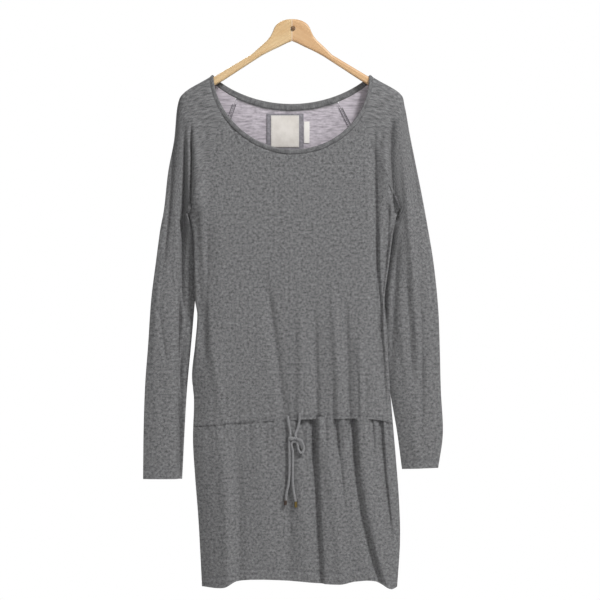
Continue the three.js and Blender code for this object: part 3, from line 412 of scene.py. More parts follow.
def neck_point(angle, face, across):
    """Neck edge at an angle, moved across it along the cloth: x, drop, half thickness and normal."""
    c, s = math.cos(math.radians(angle)), math.sin(math.radians(angle))
    front = face == "front"
    power = (NECK_POWER["left" if c < 0 else "right"]) if front else 2
    x = NECK["middle"] + NECK["half_width"] * math.copysign(abs(c) ** (2 / power), c)
    if front:
        below = NECK["front_dip"] * max(0, s) ** (2 / power)
    else:
        below = NECK["back_dip"] * max(0, s) ** NECK_POWER["back"]
    outward = Vector((c, s + RIDGE["slope"] * abs(c))).normalized()
    tilt = clamp01((RIDGE["radius"] - below) / RIDGE["radius"])
    normal = Vector((
        tilt * math.copysign(math.sin(RIDGE_LEAN), c),
        (-1 if front else 1) * math.sqrt(1 - tilt**2),
        tilt * math.cos(RIDGE_LEAN),
    )).normalized()
    half = ridge_half(below, RIDGE["radius"], RIDGE["half"], RIDGE["growth"])
    return x + across * outward.x, NECK["top"] + below + across * outward.y, half, normal


def raglan_point(side, face, q):
    """Raglan seam from the neck, q = 0, to the armpit, q = 1."""
    x0, drop0, half0, _ = neck_point(RAGLAN[side][face], face, NECK["band"] + SEAM)
    x1, drop1 = RAGLAN[side]["armpit_x"], RAGLAN[side]["armpit_drop"]
    x = mix(x0, x1, q) - sign_of(side) * RAGLAN_BOW * 4 * q * (1 - q)
    drop = mix(drop0, drop1, q)
    taper = 1 - (1 - clamp01(math.hypot(x1 - x, drop1 - drop) / ARMPIT_LENS)) ** 2
    return x, drop, mix(half0, RIDGE["half"], q) * taper


# Camera, as far off as the photograph's flat view needs
PIXEL = 1.75  # one pixel of the photograph on the dress
PHOTO_SIDE = 600
VIEW_MIDDLE = Vector((12.25, 0, -475))
CAMERA_AWAY = 6000
SENSOR = 36


def set_camera():
    camera = bpy.data.objects.new("camera", bpy.data.cameras.new("camera"))
    bpy.context.scene.collection.objects.link(camera)
    camera.location = (VIEW_MIDDLE + Vector((0, -CAMERA_AWAY, 0))) * MM
    camera.rotation_euler = (math.radians(90), 0, 0)
    camera.data.sensor_width = SENSOR
    camera.data.lens = SENSOR * CAMERA_AWAY / (PIXEL * PHOTO_SIDE)
    bpy.context.scene.camera = camera


set_camera()


# Materials

def colour(hex_value):
    """An sRGB hex value as the linear colour that a socket takes."""
    channels = [((hex_value >> shift) & 255) / 255 for shift in (16, 8, 0)]
    return (*(c / 12.92 if c <= 0.04045 else ((c + 0.055) / 1.055) ** 2.4 for c in channels), 1)


def add(tree, kind, settings=None, links=None):
    """Adds a node, with its properties and unlinked sockets set, and its other sockets linked."""
    node = tree.nodes.new(kind)
    for key, value in (settings or {}).items():
        if isinstance(key, str) and hasattr(node, key):
            setattr(node, key, value)
        else:
            node.inputs[key].default_value = value
    for key, source in (links or {}).items():
        tree.links.new(source, node.inputs[key])
    return node


def new_material(name):
    material = bpy.data.materials.new(name)
    material.use_nodes = True
    tree = material.node_tree
    shader = tree.nodes["Principled BSDF"]
    return material, tree, shader


def set_sockets(shader, values):
    for key, value in values.items():
        shader.inputs[key].default_value = value


WALE = 2.0  # drawn about twice as wide as on the real fine gauge, so that the stitches show close up
COURSE = 1.7
FLECK = 4.5  # length of a fleck of the lighter fibre


def jersey(name, light, dark, reverse_light, reverse_dark):
    """Machine-knitted heather jersey, matt with a little nap. Flecks of two greys give it a marl, its face
    has upright V stitches, and its paler reverse has level purl ridges."""
    material, tree, shader = new_material(name)
    set_sockets(shader, {
        "Roughness": 0.93,
        "Sheen Weight": 0.12,
        "Sheen Roughness": 0.6,
        "Specular IOR Level": 0.25,
    })
    flat = add(tree, "ShaderNodeUVMap", {"uv_map": "cloth"}).outputs[0]
    reverse = add(tree, "ShaderNodeAttribute", {"attribute_name": "reverse"}).outputs["Fac"]
    parts = add(tree, "ShaderNodeSeparateXYZ", links={0: flat})

    # Column and row of stitches
    column = add(
        tree, "ShaderNodeMath", {"operation": "MULTIPLY", 1: 1 / (WALE * MM)},
        {0: parts.outputs[0]},
    )
    row = add(
        tree, "ShaderNodeMath", {"operation": "MULTIPLY", 1: 1 / (COURSE * MM)},
        {0: parts.outputs[1]},
    )
    within = add(tree, "ShaderNodeMath", {"operation": "FRACT"}, {0: column.outputs[0]})
    middle = add(tree, "ShaderNodeMath", {"operation": "SUBTRACT", 1: 0.5}, {0: within.outputs[0]})
    away = add(tree, "ShaderNodeMath", {"operation": "ABSOLUTE"}, {0: middle.outputs[0]})
    lean = add(
        tree, "ShaderNodeMath", {"operation": "MULTIPLY_ADD", 1: 1.4},
        {0: away.outputs[0], 2: row.outputs[0]},
    )
    turn = add(tree, "ShaderNodeMath", {"operation": "MULTIPLY", 1: 2 * math.pi}, {0: lean.outputs[0]})
    loop = add(tree, "ShaderNodeMath", {"operation": "SINE"}, {0: turn.outputs[0]})
    valley = add(tree, "ShaderNodeMath", {"operation": "MULTIPLY", 1: math.pi}, {0: within.outputs[0]})
    rib = add(tree, "ShaderNodeMath", {"operation": "SINE"}, {0: valley.outputs[0]})
    face = add(
        tree, "ShaderNodeMath", {"operation": "MULTIPLY_ADD", 1: 0.35},
        {0: loop.outputs[0], 2: rib.outputs[0]},
    )
    purl_turn = add(
        tree, "ShaderNodeMath", {"operation": "MULTIPLY", 1: 2 * math.pi},
        {0: row.outputs[0]},
    )
    purl = add(tree, "ShaderNodeMath", {"operation": "SINE"}, {0: purl_turn.outputs[0]})
    height = add(
        tree, "ShaderNodeMix", {"data_type": "FLOAT"},
        {0: reverse, 2: face.outputs[0], 3: purl.outputs[0]},
    )

    # Marl: short flecks of the lighter fibre, and level streaks where a yarn is unevenly spun
    fleck_size = add(
        tree, "ShaderNodeMapping", {"Scale": (1 / (FLECK * MM), 1 / (FLECK * MM), 1)},
        {0: flat},
    )
    flecks = add(
        tree, "ShaderNodeTexNoise", {"Scale": 1.0, "Detail": 4.0, "Roughness": 0.75},
        {0: fleck_size.outputs[0]},
    )
    streak_size = add(tree, "ShaderNodeMapping", {"Scale": (70, 330, 1)}, {0: flat})
    streaks = add(tree, "ShaderNodeTexNoise", {"Scale": 1.0, "Detail": 3.0}, {0: streak_size.outputs[0]})
    blend = add(
        tree, "ShaderNodeMix", {"data_type": "FLOAT", 0: 0.15},
        {2: flecks.outputs[0], 3: streaks.outputs[0]},
    )
    share = add(
        tree, "ShaderNodeMapRange", {"From Min": 0.36, "From Max": 0.64},
        {"Value": blend.outputs[0]},
    )
    outside = add(
        tree, "ShaderNodeMix", {"data_type": "RGBA", 6: colour(dark), 7: colour(light)},
        {0: share.outputs[0]},
    )
    purl_blend = add(
        tree, "ShaderNodeMix", {"data_type": "FLOAT", 0: 0.7},
        {2: flecks.outputs[0], 3: streaks.outputs[0]},
    )
    purl_share = add(
        tree, "ShaderNodeMapRange", {"From Min": 0.3, "From Max": 0.6},
        {"Value": purl_blend.outputs[0]},
    )
    inside = add(
        tree, "ShaderNodeMix", {"data_type": "RGBA", 6: colour(reverse_dark), 7: colour(reverse_light)},
        {0: purl_share.outputs[0]},
    )
    both = add(
        tree, "ShaderNodeMix", {"data_type": "RGBA"},
        {0: reverse, 6: outside.outputs[2], 7: inside.outputs[2]},
    )
    # Painted shade: the base colour is darkened in the stitches' hollows and lightened a little on their
    # crests
    stitch_hollow_shade = add(
        tree, "ShaderNodeMapRange", {"From Min": -0.4, "From Max": 1.2, "To Min": 0.78, "To Max": 1.05},
        {"Value": height.outputs[0]},
    )
    shaded = add(
        tree, "ShaderNodeVectorMath", {"operation": "SCALE"},
        {0: both.outputs[2], "Scale": stitch_hollow_shade.outputs[0]},
    )
    tree.links.new(shaded.outputs[0], shader.inputs["Base Color"])

    fuzz = add(
        tree, "ShaderNodeMath", {"operation": "MULTIPLY_ADD", 1: 0.7},
        {0: flecks.outputs[0], 2: height.outputs[0]},
    )
    bump = add(
        tree, "ShaderNodeBump", {"Strength": 0.6, "Distance": 0.25 * MM},
        {"Height": fuzz.outputs[0]},
    )
    tree.links.new(bump.outputs[0], shader.inputs["Normal"])
    return material


def thread(name, hex_value):
    """Spun polyester sewing thread, matt, with the twist of its plies."""
    material, tree, shader = new_material(name)
    set_sockets(shader, {"Roughness": 0.8, "Specular IOR Level": 0.3})
    place = add(tree, "ShaderNodeTexCoord").outputs["Object"]
    twist = add(
        tree, "ShaderNodeTexWave", {"Scale": 500.0, "bands_direction": "DIAGONAL", "Distortion": 1.0},
        {0: place},
    )
    shade = add(
        tree, "ShaderNodeMix", {"data_type": "RGBA", 6: colour(hex_value), 7: colour(0x55565A)},
        {0: twist.outputs["Fac"]},
    )
    tree.links.new(shade.outputs[2], shader.inputs["Base Color"])
    bump = add(
        tree, "ShaderNodeBump", {"Strength": 0.5, "Distance": 0.1 * MM},
        {"Height": twist.outputs["Fac"]},
    )
    tree.links.new(bump.outputs[0], shader.inputs["Normal"])
    return material


def braid(name, light, dark):
    """Braided cotton cord, matt, with plaits that cross in a fine diagonal net."""
    material, tree, shader = new_material(name)
    set_sockets(shader, {"Roughness": 0.88, "Sheen Weight": 0.15, "Specular IOR Level": 0.3})
    place = add(tree, "ShaderNodeTexCoord").outputs["Object"]
    heights = []
    for lean in (40, -40):
        turned = add(tree, "ShaderNodeMapping", {"Rotation": (0, math.radians(lean), 0)}, {0: place})
        wave = add(
            tree, "ShaderNodeTexWave", {"Scale": 150.0, "bands_direction": "Z", "Distortion": 0.4},
            {0: turned.outputs[0]},
        )
        heights.append(wave.outputs["Fac"])
    plait = add(tree, "ShaderNodeMath", {"operation": "MAXIMUM"}, {0: heights[0], 1: heights[1]})
    fibre = add(tree, "ShaderNodeTexNoise", {"Scale": 900.0, "Detail": 2.0}, {0: place})
    tone = add(
        tree, "ShaderNodeMath", {"operation": "MULTIPLY"},
        {0: plait.outputs[0], 1: fibre.outputs[0]},
    )
    share = add(
        tree, "ShaderNodeMapRange", {"From Min": 0.15, "From Max": 0.65},
        {"Value": tone.outputs[0]},
    )
    shade = add(
        tree, "ShaderNodeMix", {"data_type": "RGBA", 6: colour(dark), 7: colour(light)},
        {0: share.outputs[0]},
    )
    tree.links.new(shade.outputs[2], shader.inputs["Base Color"])
    bump = add(
        tree, "ShaderNodeBump", {"Strength": 0.7, "Distance": 0.35 * MM},
        {"Height": plait.outputs[0]},
    )
    tree.links.new(bump.outputs[0], shader.inputs["Normal"])
    return material


def woven_tape(name, light, dark):
    """Woven polyester label tape with a satin face: a soft sheen over fine level threads."""
    material, tree, shader = new_material(name)
    set_sockets(shader, {"Roughness": 0.55, "Sheen Weight": 0.2, "Specular IOR Level": 0.4})
    place = add(tree, "ShaderNodeTexCoord").outputs["Object"]
    weft = add(
        tree, "ShaderNodeTexWave", {"Scale": 420.0, "bands_direction": "Z", "Distortion": 0.3}, {0: place}
    )
    warp = add(
        tree, "ShaderNodeTexWave", {"Scale": 420.0, "bands_direction": "X", "Distortion": 0.3}, {0: place}
    )
    weave = add(
        tree, "ShaderNodeMath", {"operation": "MAXIMUM"},
        {0: weft.outputs["Fac"], 1: warp.outputs["Fac"]},
    )
    worn = add(tree, "ShaderNodeTexNoise", {"Scale": 60.0, "Detail": 3.0}, {0: place})
    tone = add(
        tree, "ShaderNodeMath", {"operation": "MULTIPLY_ADD", 1: 0.3},
        {0: weave.outputs[0], 2: worn.outputs[0]},
    )
    share = add(
        tree, "ShaderNodeMapRange", {"From Min": 0.4, "From Max": 0.85},
        {"Value": tone.outputs[0]},
    )
    shade = add(
        tree, "ShaderNodeMix", {"data_type": "RGBA", 6: colour(dark), 7: colour(light)},
        {0: share.outputs[0]},
    )
    tree.links.new(shade.outputs[2], shader.inputs["Base Color"])
    bump = add(
        tree, "ShaderNodeBump", {"Strength": 0.4, "Distance": 0.1 * MM},
        {"Height": weave.outputs[0]},
    )
    tree.links.new(bump.outputs[0], shader.inputs["Normal"])
    return material


def beech(name, light, dark, lean):
    """Steamed beech under clear satin lacquer: fine straight grain along the arm, and short dark flecks."""
    material, tree, shader = new_material(name)
    set_sockets(shader, {"Roughness": 0.42, "Coat Weight": 0.25, "Coat Roughness": 0.25})
    place = add(tree, "ShaderNodeTexCoord").outputs["Object"]
    along = add(tree, "ShaderNodeMapping", {"Rotation": (0, math.radians(lean), 0)}, {0: place})
    stretched = add(tree, "ShaderNodeMapping", {"Scale": (18, 160, 240)}, {0: along.outputs[0]})
    grain = add(
        tree, "ShaderNodeTexNoise", {"Scale": 1.0, "Detail": 4.0, "Roughness": 0.6},
        {0: stretched.outputs[0]},
    )
    ring_size = add(tree, "ShaderNodeMapping", {"Scale": (4, 30, 70)}, {0: along.outputs[0]})
    rings = add(
        tree, "ShaderNodeTexNoise", {"Scale": 1.0, "Detail": 2.0, "Distortion": 0.6},
        {0: ring_size.outputs[0]},
    )
    fleck_size = add(tree, "ShaderNodeMapping", {"Scale": (170, 900, 1300)}, {0: along.outputs[0]})
    flecks = add(tree, "ShaderNodeTexVoronoi", {"Scale": 1.0}, {0: fleck_size.outputs[0]})
    figure = add(
        tree, "ShaderNodeMath", {"operation": "MULTIPLY_ADD", 1: 0.7},
        {0: rings.outputs[0], 2: grain.outputs[0]},
    )
    share = add(
        tree, "ShaderNodeMapRange", {"From Min": 0.55, "From Max": 1.15},
        {"Value": figure.outputs[0]},
    )
    body = add(
        tree, "ShaderNodeMix", {"data_type": "RGBA", 6: colour(dark), 7: colour(light)},
        {0: share.outputs[0]},
    )
    speck = add(
        tree, "ShaderNodeMapRange", {"From Min": 0.05, "From Max": 0.2, "To Min": 0.35, "To Max": 0.0},
        {"Value": flecks.outputs["Distance"]},
    )
    wood = add(
        tree, "ShaderNodeMix", {"data_type": "RGBA", 7: colour(0xA8773F)},
        {0: speck.outputs[0], 6: body.outputs[2]},
    )
    tree.links.new(wood.outputs[2], shader.inputs["Base Color"])
    bump = add(
        tree, "ShaderNodeBump", {"Strength": 0.25, "Distance": 0.15 * MM},
        {"Height": grain.outputs[0]},
    )
    tree.links.new(bump.outputs[0], shader.inputs["Normal"])
    return material


def smooth_tip(name, hex_value, worn, roughness, metallic):
    """Cord tip with fine crimp rings: moulded plastic, or brass with a dull brown film in its hollows."""
    material, tree, shader = new_material(name)
    set_sockets(shader, {"Roughness": roughness, "Metallic": metallic})
    place = add(tree, "ShaderNodeTexCoord").outputs["Object"]
    film = add(tree, "ShaderNodeTexNoise", {"Scale": 500.0, "Detail": 3.0}, {0: place})
    rings = add(tree, "ShaderNodeTexWave", {"Scale": 130.0, "bands_direction": "Z"}, {0: place})
    shade = add(
        tree, "ShaderNodeMix", {"data_type": "RGBA", 6: colour(hex_value), 7: colour(worn)},
        {0: film.outputs[0]},
    )
    tree.links.new(shade.outputs[2], shader.inputs["Base Color"])
    bump = add(
        tree, "ShaderNodeBump", {"Strength": 0.5, "Distance": 0.3 * MM},
        {"Height": rings.outputs["Fac"]},
    )
    tree.links.new(bump.outputs[0], shader.inputs["Normal"])
    return material


def matt_paint(name, hex_value):
    """Plain matt paint of the studio floor, pale and without shine."""
    material, _, shader = new_material(name)
    set_sockets(shader, {"Base Color": colour(hex_value), "Roughness": 0.9})
    return material


KNIT = jersey("heather_grey_wool_cotton_jersey", 0x8E8E8F, 0x505051, 0xDFD7DF, 0x968F97)
BAND_KNIT = jersey("rolled_heather_jersey_band", 0x838384, 0x565657, 0x838384, 0x565657)
CASING_KNIT = jersey("double_heather_jersey_casing", 0x8E8E8F, 0x525253, 0xDFD7DF, 0x968F97)
# The label patch is the dress's knit in lighter greys: painted light against the shade inside the neck
PATCH_KNIT_PAINTED_LIGHT = jersey("heather_jersey_label_patch_painted_light", 0xA19EA4, 0x77747A, 0xA19EA4, 0x77747A)
THREAD = thread("spun_polyester_thread", 0x8A8B8F)
OVERLOCK_THREAD = thread("spun_polyester_overlock_thread", 0x5E5B62)
BRAID = braid("braided_cotton_cord", 0xA4A4A5, 0x646466)
LABEL_TAPE = woven_tape("woven_polyester_satin_label", 0xE6E1DB, 0xCFC9C1)
CARE_TAPE = woven_tape("woven_polyester_care_tape", 0xF2EFEA, 0xD5D0C9)
LIGHT_BEECH = beech("lacquered_beech_light", 0xDFC497, 0xCAA26F, 31)
DARK_BEECH = beech("lacquered_beech_dark", 0xDDB88A, 0xC4976A, -31)
PEG_WOOD = beech("stained_beech_peg", 0x8A6744, 0x5E432B, 0)
PLASTIC_TIP = smooth_tip("moulded_abs_tip", 0x4A3A30, 0x392C25, 0.35, 0)
BRASS_TIP = smooth_tip("aged_brass_tip", 0xA5905A, 0x6B5A34, 0.4, 1)


# Cloth pieces

RIM_TURN = 1.1  # radians; the cloth's cut edge stays crisp, so a seam leaves no shadow of its own


def cloth(name, material, columns, rows, place, wall, across_flip=False, tube=False, crowd=0):
    """A knitted wall. place(u, v) gives a point of its inner face across and down the piece, the way its wall
    is laid on (a tube's is straight out), and its place on the flat cloth. The outer face is built first.
    crowd draws the columns together at both sides, where the sharpest folds are."""
    bm = bmesh.new()
    bmesh.ops.create_grid(bm, x_segments=columns, y_segments=rows, size=0.5)
    bm.verts.index_update()
    flat_map = bm.loops.layers.uv.new("cloth")
    reverse = bm.verts.layers.float.new("reverse")
    laid_on = bm.verts.layers.float_vector.new("laid_on")
    flats = []
    for vert in bm.verts:
        u = vert.co.x + 0.5
        u -= crowd * math.sin(2 * math.pi * u) / (2 * math.pi)
        point, push, flat = place(1 - u if across_flip else u, 0.5 - vert.co.y)
        flats.append(Vector(flat) * MM)
        vert.co = point * MM
        vert[laid_on] = push
    for face in bm.faces:
        for corner in face.loops:
            corner[flat_map].uv = flats[corner.vert.index]
    if tube:
        bmesh.ops.remove_doubles(bm, verts=bm.verts[:], dist=0.001 * MM)
        bm.normal_update()
        for vert in bm.verts:
            vert[laid_on] = vert.normal
    for vert in bm.verts:
        vert[reverse] = 0 if vert.is_boundary else 1
    made = bmesh.ops.extrude_face_region(bm, geom=bm.faces[:], use_keep_orig=True)
    inside = {item for item in made["geom"] if isinstance(item, bmesh.types.BMVert)}
    for vert in bm.verts:
        if vert not in inside:
            vert[reverse] = 0
            vert.co += vert[laid_on] * wall * MM
    bmesh.ops.recalc_face_normals(bm, faces=bm.faces[:])
    for edge in bm.edges:
        edge.smooth = edge.calc_face_angle(0) < RIM_TURN
    return finish_piece(name, bm, material)


def finish_piece(name, bm, material, smooth=True):
    for face in bm.faces:
        face.smooth = smooth
    mesh = bpy.data.meshes.new(name)
    bm.to_mesh(mesh)
    bm.free()
    mesh.materials.append(material)
    piece = bpy.data.objects.new(name, mesh)
    bpy.context.scene.collection.objects.link(piece)
    return piece


def seam_dip(distance):
    """The seam pulls the cloth in a little beside it."""
    return -0.5 * math.exp(-((distance / 1.6) ** 2))


def panel_place(face, left, right, top, bottom, folds, seed, extra=None):
    """Place on a flat panel of the front or the back, between its four edges."""
    facing = -1 if face == "front" else 1
    edge_cache = {}
    line_cache = {}
    top_left, top_right, bottom_left, bottom_right = top(0), top(1), bottom(0), bottom(1)

    def place(u, v):
        if v not in edge_cache:
            edge_cache[v] = (left(v), right(v))
        if u not in line_cache:
            line_cache[u] = (top(u), bottom(u))
        at_left, at_right = edge_cache[v]
        at_top, at_bottom = line_cache[u]
        spot = [
            mix(at_left[k], at_right[k], u)
            + (at_top[k] - mix(top_left[k], top_right[k], u)) * (1 - v) ** 2
            + (at_bottom[k] - mix(bottom_left[k], bottom_right[k], u)) * v**3
            for k in (0, 1)
        ]
        x, drop = spot
        body = body_half(drop)
        near_left = (1 - clamp01((x - at_left[0]) / EDGE_LENS)) ** 2
        near_right = (1 - clamp01((at_right[0] - x) / EDGE_LENS)) ** 2
        plain = body + (at_left[2] - body) * near_left + (at_right[2] - body) * near_right
        to_side = min(x - at_left[0], at_right[0] - x)
        edge_half = at_left[2] if x - at_left[0] < at_right[0] - x else at_right[2]
        held = mix(ease(to_side / SIDE_ROLL), 1, clamp01(edge_half / FULL_EDGE))
        rise = fold_rise(folds, x, drop) * held + drape(x, drop, seed) * clamp01(to_side / DRAPE_FADE)
        if extra:
            rise += extra(x, drop, at_top[1], at_bottom[1])
        half = HALF_GAP + max(0, plain + rise)
        return Vector((x, facing * half, -drop)), Vector((0, facing, 0)), (x, -drop)

    return place


def bodice_edge(side, face):
    armpit_at = 1 / 3
    inset = -sign_of(side) * SEAM / 2
    bottom = waist_drop(side_x[side](690)) - CASING - SEAM

    def edge(v):
        if v < armpit_at:
            x, drop, half = raglan_point(side, face, v / armpit_at)
            return x + inset, drop, half
        down = ((v - armpit_at) / (1 - armpit_at)) ** 1.5
        drop = mix(RAGLAN[side]["armpit_drop"], bottom, down)
        return side_x[side](drop) + inset, drop, 0

    return edge


def bodice(face, folds, columns, rows, seed):
    left, right = bodice_edge("left", face), bodice_edge("right", face)

    def top(u):
        angle = mix(RAGLAN["left"][face], RAGLAN["right"][face], u)
        return neck_point(angle, face, NECK["band"] + SEAM)[:2]

    def bottom(u):
        x = mix(left(1)[0], right(1)[0], u)
        return x, waist_drop(x) - CASING - SEAM

    def seams(x, drop, top_drop, bottom_drop):
        return 3 * seam_dip(drop - top_drop)

    place = panel_place(face, left, right, top, bottom, folds, seed, seams)
    piece = cloth(
        f"bodice_{face}_cloth", KNIT, columns, rows, place, WALL, across_flip=face == "back", crowd=0.45
    )
    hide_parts(f"bodice_{face}")
    return piece


def cross_panel(name, face, folds, upper, lower, material, columns, rows, wall, seed, extra=None):
    """Panel between two lines that cross the body."""

    def edge(side):
        near = side_x[side](690)

        def at(v):
            drop = mix(upper(near), lower(near), v)
            return side_x[side](drop), drop, 0

        return at

    left, right = edge("left"), edge("right")

    def line(rule, v):
        def at(u):
            x = mix(left(v)[0], right(v)[0], u)
            return x, rule(x)

        return at

    place = panel_place(face, left, right, line(upper, 0), line(lower, 1), folds, seed, extra)
    return cloth(name, material, columns, rows, place, wall, across_flip=face == "back")


def casing_puckers(x, drop, top_drop, bottom_drop):
    """The cord draws the casing up in small upright puckers, and its lower seam pinches it."""
    pucker = noise.noise(Vector((x / 5.2, 0, 3))) * 1.1 + noise.noise(Vector((x / 2.6, 0, 9))) * 0.4
    middle = clamp01((drop - top_drop) / CASING) * clamp01((bottom_drop - drop) / CASING) * 4
    level_top = -(CASING_SHOWN - WALL) * math.exp(-(((drop - top_drop) / 6) ** 2))
    return (pucker * 0.8 + 0.5) * middle + level_top + 1.2 * seam_dip(bottom_drop - drop)


def casing(face, folds, columns, seed):
    piece = cross_panel(
        f"casing_{face}_cloth", face, folds, lambda x: waist_drop(x) - CASING, waist_drop,
        CASING_KNIT, columns, 14, CASING_SHOWN, seed, casing_puckers,
    )
    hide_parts(f"casing_{face}")
    return piece


def skirt(face, folds, columns, rows, seed):
    def seams(x, drop, top_drop, bottom_drop):
        return 2.2 * seam_dip((drop - top_drop) / 2) + hem_roll(bottom_drop - drop)

    piece = cross_panel(
        f"skirt_{face}_cloth", face, folds, lambda x: waist_drop(x) + SEAM, hem_drop,
        KNIT, columns, rows, WALL, seed, seams,
    )
    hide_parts(f"skirt_{face}")
    return piece


HEM_DEPTH = 16


def hem_roll(above):
    """The turned-up hem is a second layer, and its stitching draws a shallow line above it."""
    turned = 0.5 * ease((HEM_DEPTH - above) / 3)
    return turned - 0.6 * math.exp(-(((above - HEM_DEPTH) / 1.6) ** 2))


# Sleeves

def sleeve_rows(side):
    x0, drop0, _, _ = neck_point(180 if side == "left" else 0, "front", NECK["band"] + 2 * SEAM)
    first = {
        "n": 0,
        "outer_x": x0 + sign_of(side) * WALL * math.sin(RIDGE_LEAN),
        "outer_drop": drop0 - WALL * math.cos(RIDGE_LEAN),
        "inner_x": RAGLAN[side]["armpit_x"] + sign_of(side) * SEAM / 2,
        "inner_drop": RAGLAN[side]["armpit_drop"],
        "radius": RIDGE["radius"],
        "half": RIDGE["half"],
        "back": 0,
    }
    return [first, *SLEEVES[side]]


def sleeve_curves(side):
    rows = sleeve_rows(side)
    return {column: smooth_curve(rows, "n", column) for column in rows[0] if column != "n"}


SLEEVE_CURVES = {side: sleeve_curves(side) for side in SLEEVES}


def sleeve_section(side, station):
    curves = SLEEVE_CURVES[side]
    before, after = max(0, station - 0.05), min(LAST_STATION, station + 0.05)
    along = Vector((
        curves["outer_x"](after) - curves["outer_x"](before),
        curves["outer_drop"](after) - curves["outer_drop"](before),
    )).normalized()
    outer = Vector((curves["outer_x"](station), curves["outer_drop"](station)))
    outer += Vector((along.y, -along.x)) * -sign_of(side) * WALL
    inner = Vector((curves["inner_x"](station), curves["inner_drop"](station)))
    inner += (outer - inner).normalized() * WALL
    return outer, inner, curves["radius"](station), curves["half"](station), curves["back"](station)


def seam_ring(side, face, w):
    """Seam end of the sleeve at a share of the way from the armpit, w = 0, to the shoulder ridge, w = 1."""
    last = len(RAGLAN_STOPS) - 1
    at = w * (last + 1 + NECK_STEPS)
    if at <= last + 1:
        k = min(last, int(at))
        after = RAGLAN_STOPS[k + 1] if k < last else 0
        x, drop, half = raglan_point(side, face, mix(RAGLAN_STOPS[k], after, at - k))
        return x + sign_of(side) * SEAM / 2, drop, half
    share = (last + 1 + NECK_STEPS - at) / NECK_STEPS
    sine = math.sin(math.radians(RAGLAN[side][face])) * share ** SHOULDER_CROWD[face]
    angle = math.degrees(math.asin(min(1, sine)))
    return neck_point(180 - angle if side == "left" else angle, face, NECK["band"] + 2 * SEAM)[:3]


def clear_of_body(side, face, x, drop, station, y):
    """Keeps the sleeve on its own side of the raglan and side seams, or a little way behind the body."""
    sign = sign_of(side)
    start, end = raglan_point(side, face, 0)[1], RAGLAN[side]["armpit_drop"]
    if drop < start or station == 0:
        return x
    clear = SEAM / 2 + ARMPIT_CLEAR["gap"] * ease(station / ARMPIT_CLEAR["over"])
    if drop < end:
        seam = raglan_point(side, face, (drop - start) / (end - start))[0]
        return sign * max(sign * x, sign * seam + clear)
    behind = ease((y - BEHIND["from"]) / (BEHIND["to"] - BEHIND["from"])) * ease(station - BEHIND["station"])
    return sign * max(sign * x, sign * side_x[side](drop) + mix(clear, -TUCK, behind))


def sink(side, x, drop):
    """How far back the sleeve lies beside the body, below the armpit, and in its deepest fold."""
    strip = SUNK[side]
    beside = sign_of(side) * (x - side_x[side](drop))
    started = ease((drop - RAGLAN[side]["armpit_drop"]) / SINK_FADE["start"])
    down = started * ease((strip["end"] - drop) / SINK_FADE["end"])
    step = strip["depth"] * down * (1 - ease((beside - strip["flat"]) / strip["over"]))
    return step - fold_rise(strip["folds"], x, drop)


def sleeve_place(side, seed):
    start_outer, start_inner = sleeve_section(side, 0)[:2]
    seam_span = (start_outer - start_inner).length
    section_cache = {}
    folds = {
        "front": BODICE_FOLDS + BODICE_CREASES + SLEEVE_FOLDS + SLEEVE_CREASES,
        "back": SLEEVE_BACK_FOLDS,
    }

    def place(u, v):
        face = "front" if u <= 0.5 else "back"
        w = 2 * u if u <= 0.5 else 2 - 2 * u
        station = LAST_STATION * v**ROW_CROWD
        if station not in section_cache:
            section_cache[station] = sleeve_section(side, station)
        outer, inner, radius, thick, back = section_cache[station]
        edge_x, edge_drop, edge_half = seam_ring(side, face, w)
        fade = (1 - clamp01(station / FAN)) ** 2
        below = math.hypot(edge_x - start_outer.x, edge_drop - start_outer.y)
        seam_share = 0 if w == 0 else 1 if w == 1 else clamp01(1 - below / seam_span)
        share = mix(seam_share, (1 - math.cos(math.pi * w)) / 2, ease(station / SPREAD))
        spot = inner.lerp(outer, share)
        own = Vector((edge_x, edge_drop)) if w > 0 else start_inner
        spot += (own - start_inner.lerp(start_outer, seam_share)) * fade
        span = (outer - inner).length
        taper = 1 - (1 - clamp01(share * span / INNER_LENS)) ** 2
        tube = ridge_half((1 - share) * span, radius, thick, TUBE_GROWTH) * taper
        to_cuff = (LAST_STATION - station) / LAST_STATION * SLEEVE_LENGTH
        facing = -1 if face == "front" else 1
        plain = mix(tube, edge_half, fade)
        middle = back * mix(1, OUTER_SWING, share)
        spare = max(0, 2 * plain - WALL_ROOM) if face == "back" else 0
        sunk = max(0, sink(side, spot.x, spot.y) - spare)
        x = clear_of_body(side, face, spot.x, spot.y, station, middle + sunk + facing * plain)
        rise = fold_rise(folds[face], x, spot.y) + drape(x, spot.y, seed) * ease(station / 2)
        raised = plain + (rise + cuff_roll(to_cuff)) * mix(taper, 1, fade)
        half = HALF_GAP + max(THINNEST * (1 - fade), raised)
        if w in (0, 1):
            half = 0
        y = middle + sunk + facing * half
        return Vector((x, y, -spot.y)), Vector(), (facing * (1 - share) * span, -spot.y)

    return place


CUFF_DEPTH = 9


def cuff_roll(above):
    return 0.4 * ease((CUFF_DEPTH - above) / 3) - 0.5 * math.exp(-(((above - CUFF_DEPTH) / 1.6) ** 2))


def sleeve(side, seed):
    piece = cloth(
        f"sleeve_{side}_cloth", KNIT, 160, 260, sleeve_place(side, seed), WALL,
        across_flip=side == "left", tube=True,
    )
    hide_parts(f"sleeve_{side}")
    return piece


# Neckband, a narrow roll of the same knit round the opening

ROLL_SECTION = [  # across the band from its free edge, and out from the neck's surface
    (-0.3, 0.9), (0.1, 0.2), (1.1, -0.1), (3, -0.1), (5.2, 0), (7.3, 0), (7.5, 0.9), (7.3, 1.8),
    (6.1, 2), (4.4, 2.5), (2.6, 2.9), (1, 2.8), (0, 1.9),
]


BACK_ROLL = 0.55  # the band rolls over less at the back, where it shows wider


def neck_angle(u):
    """Angle and face once round the opening, with close steps where it crosses the shoulders."""
    t = (2 * u) % 1
    sweep = 90 * (1 - math.cos(math.pi * t))
    return (180 - sweep, "front") if u < 0.5 else (sweep, "back")


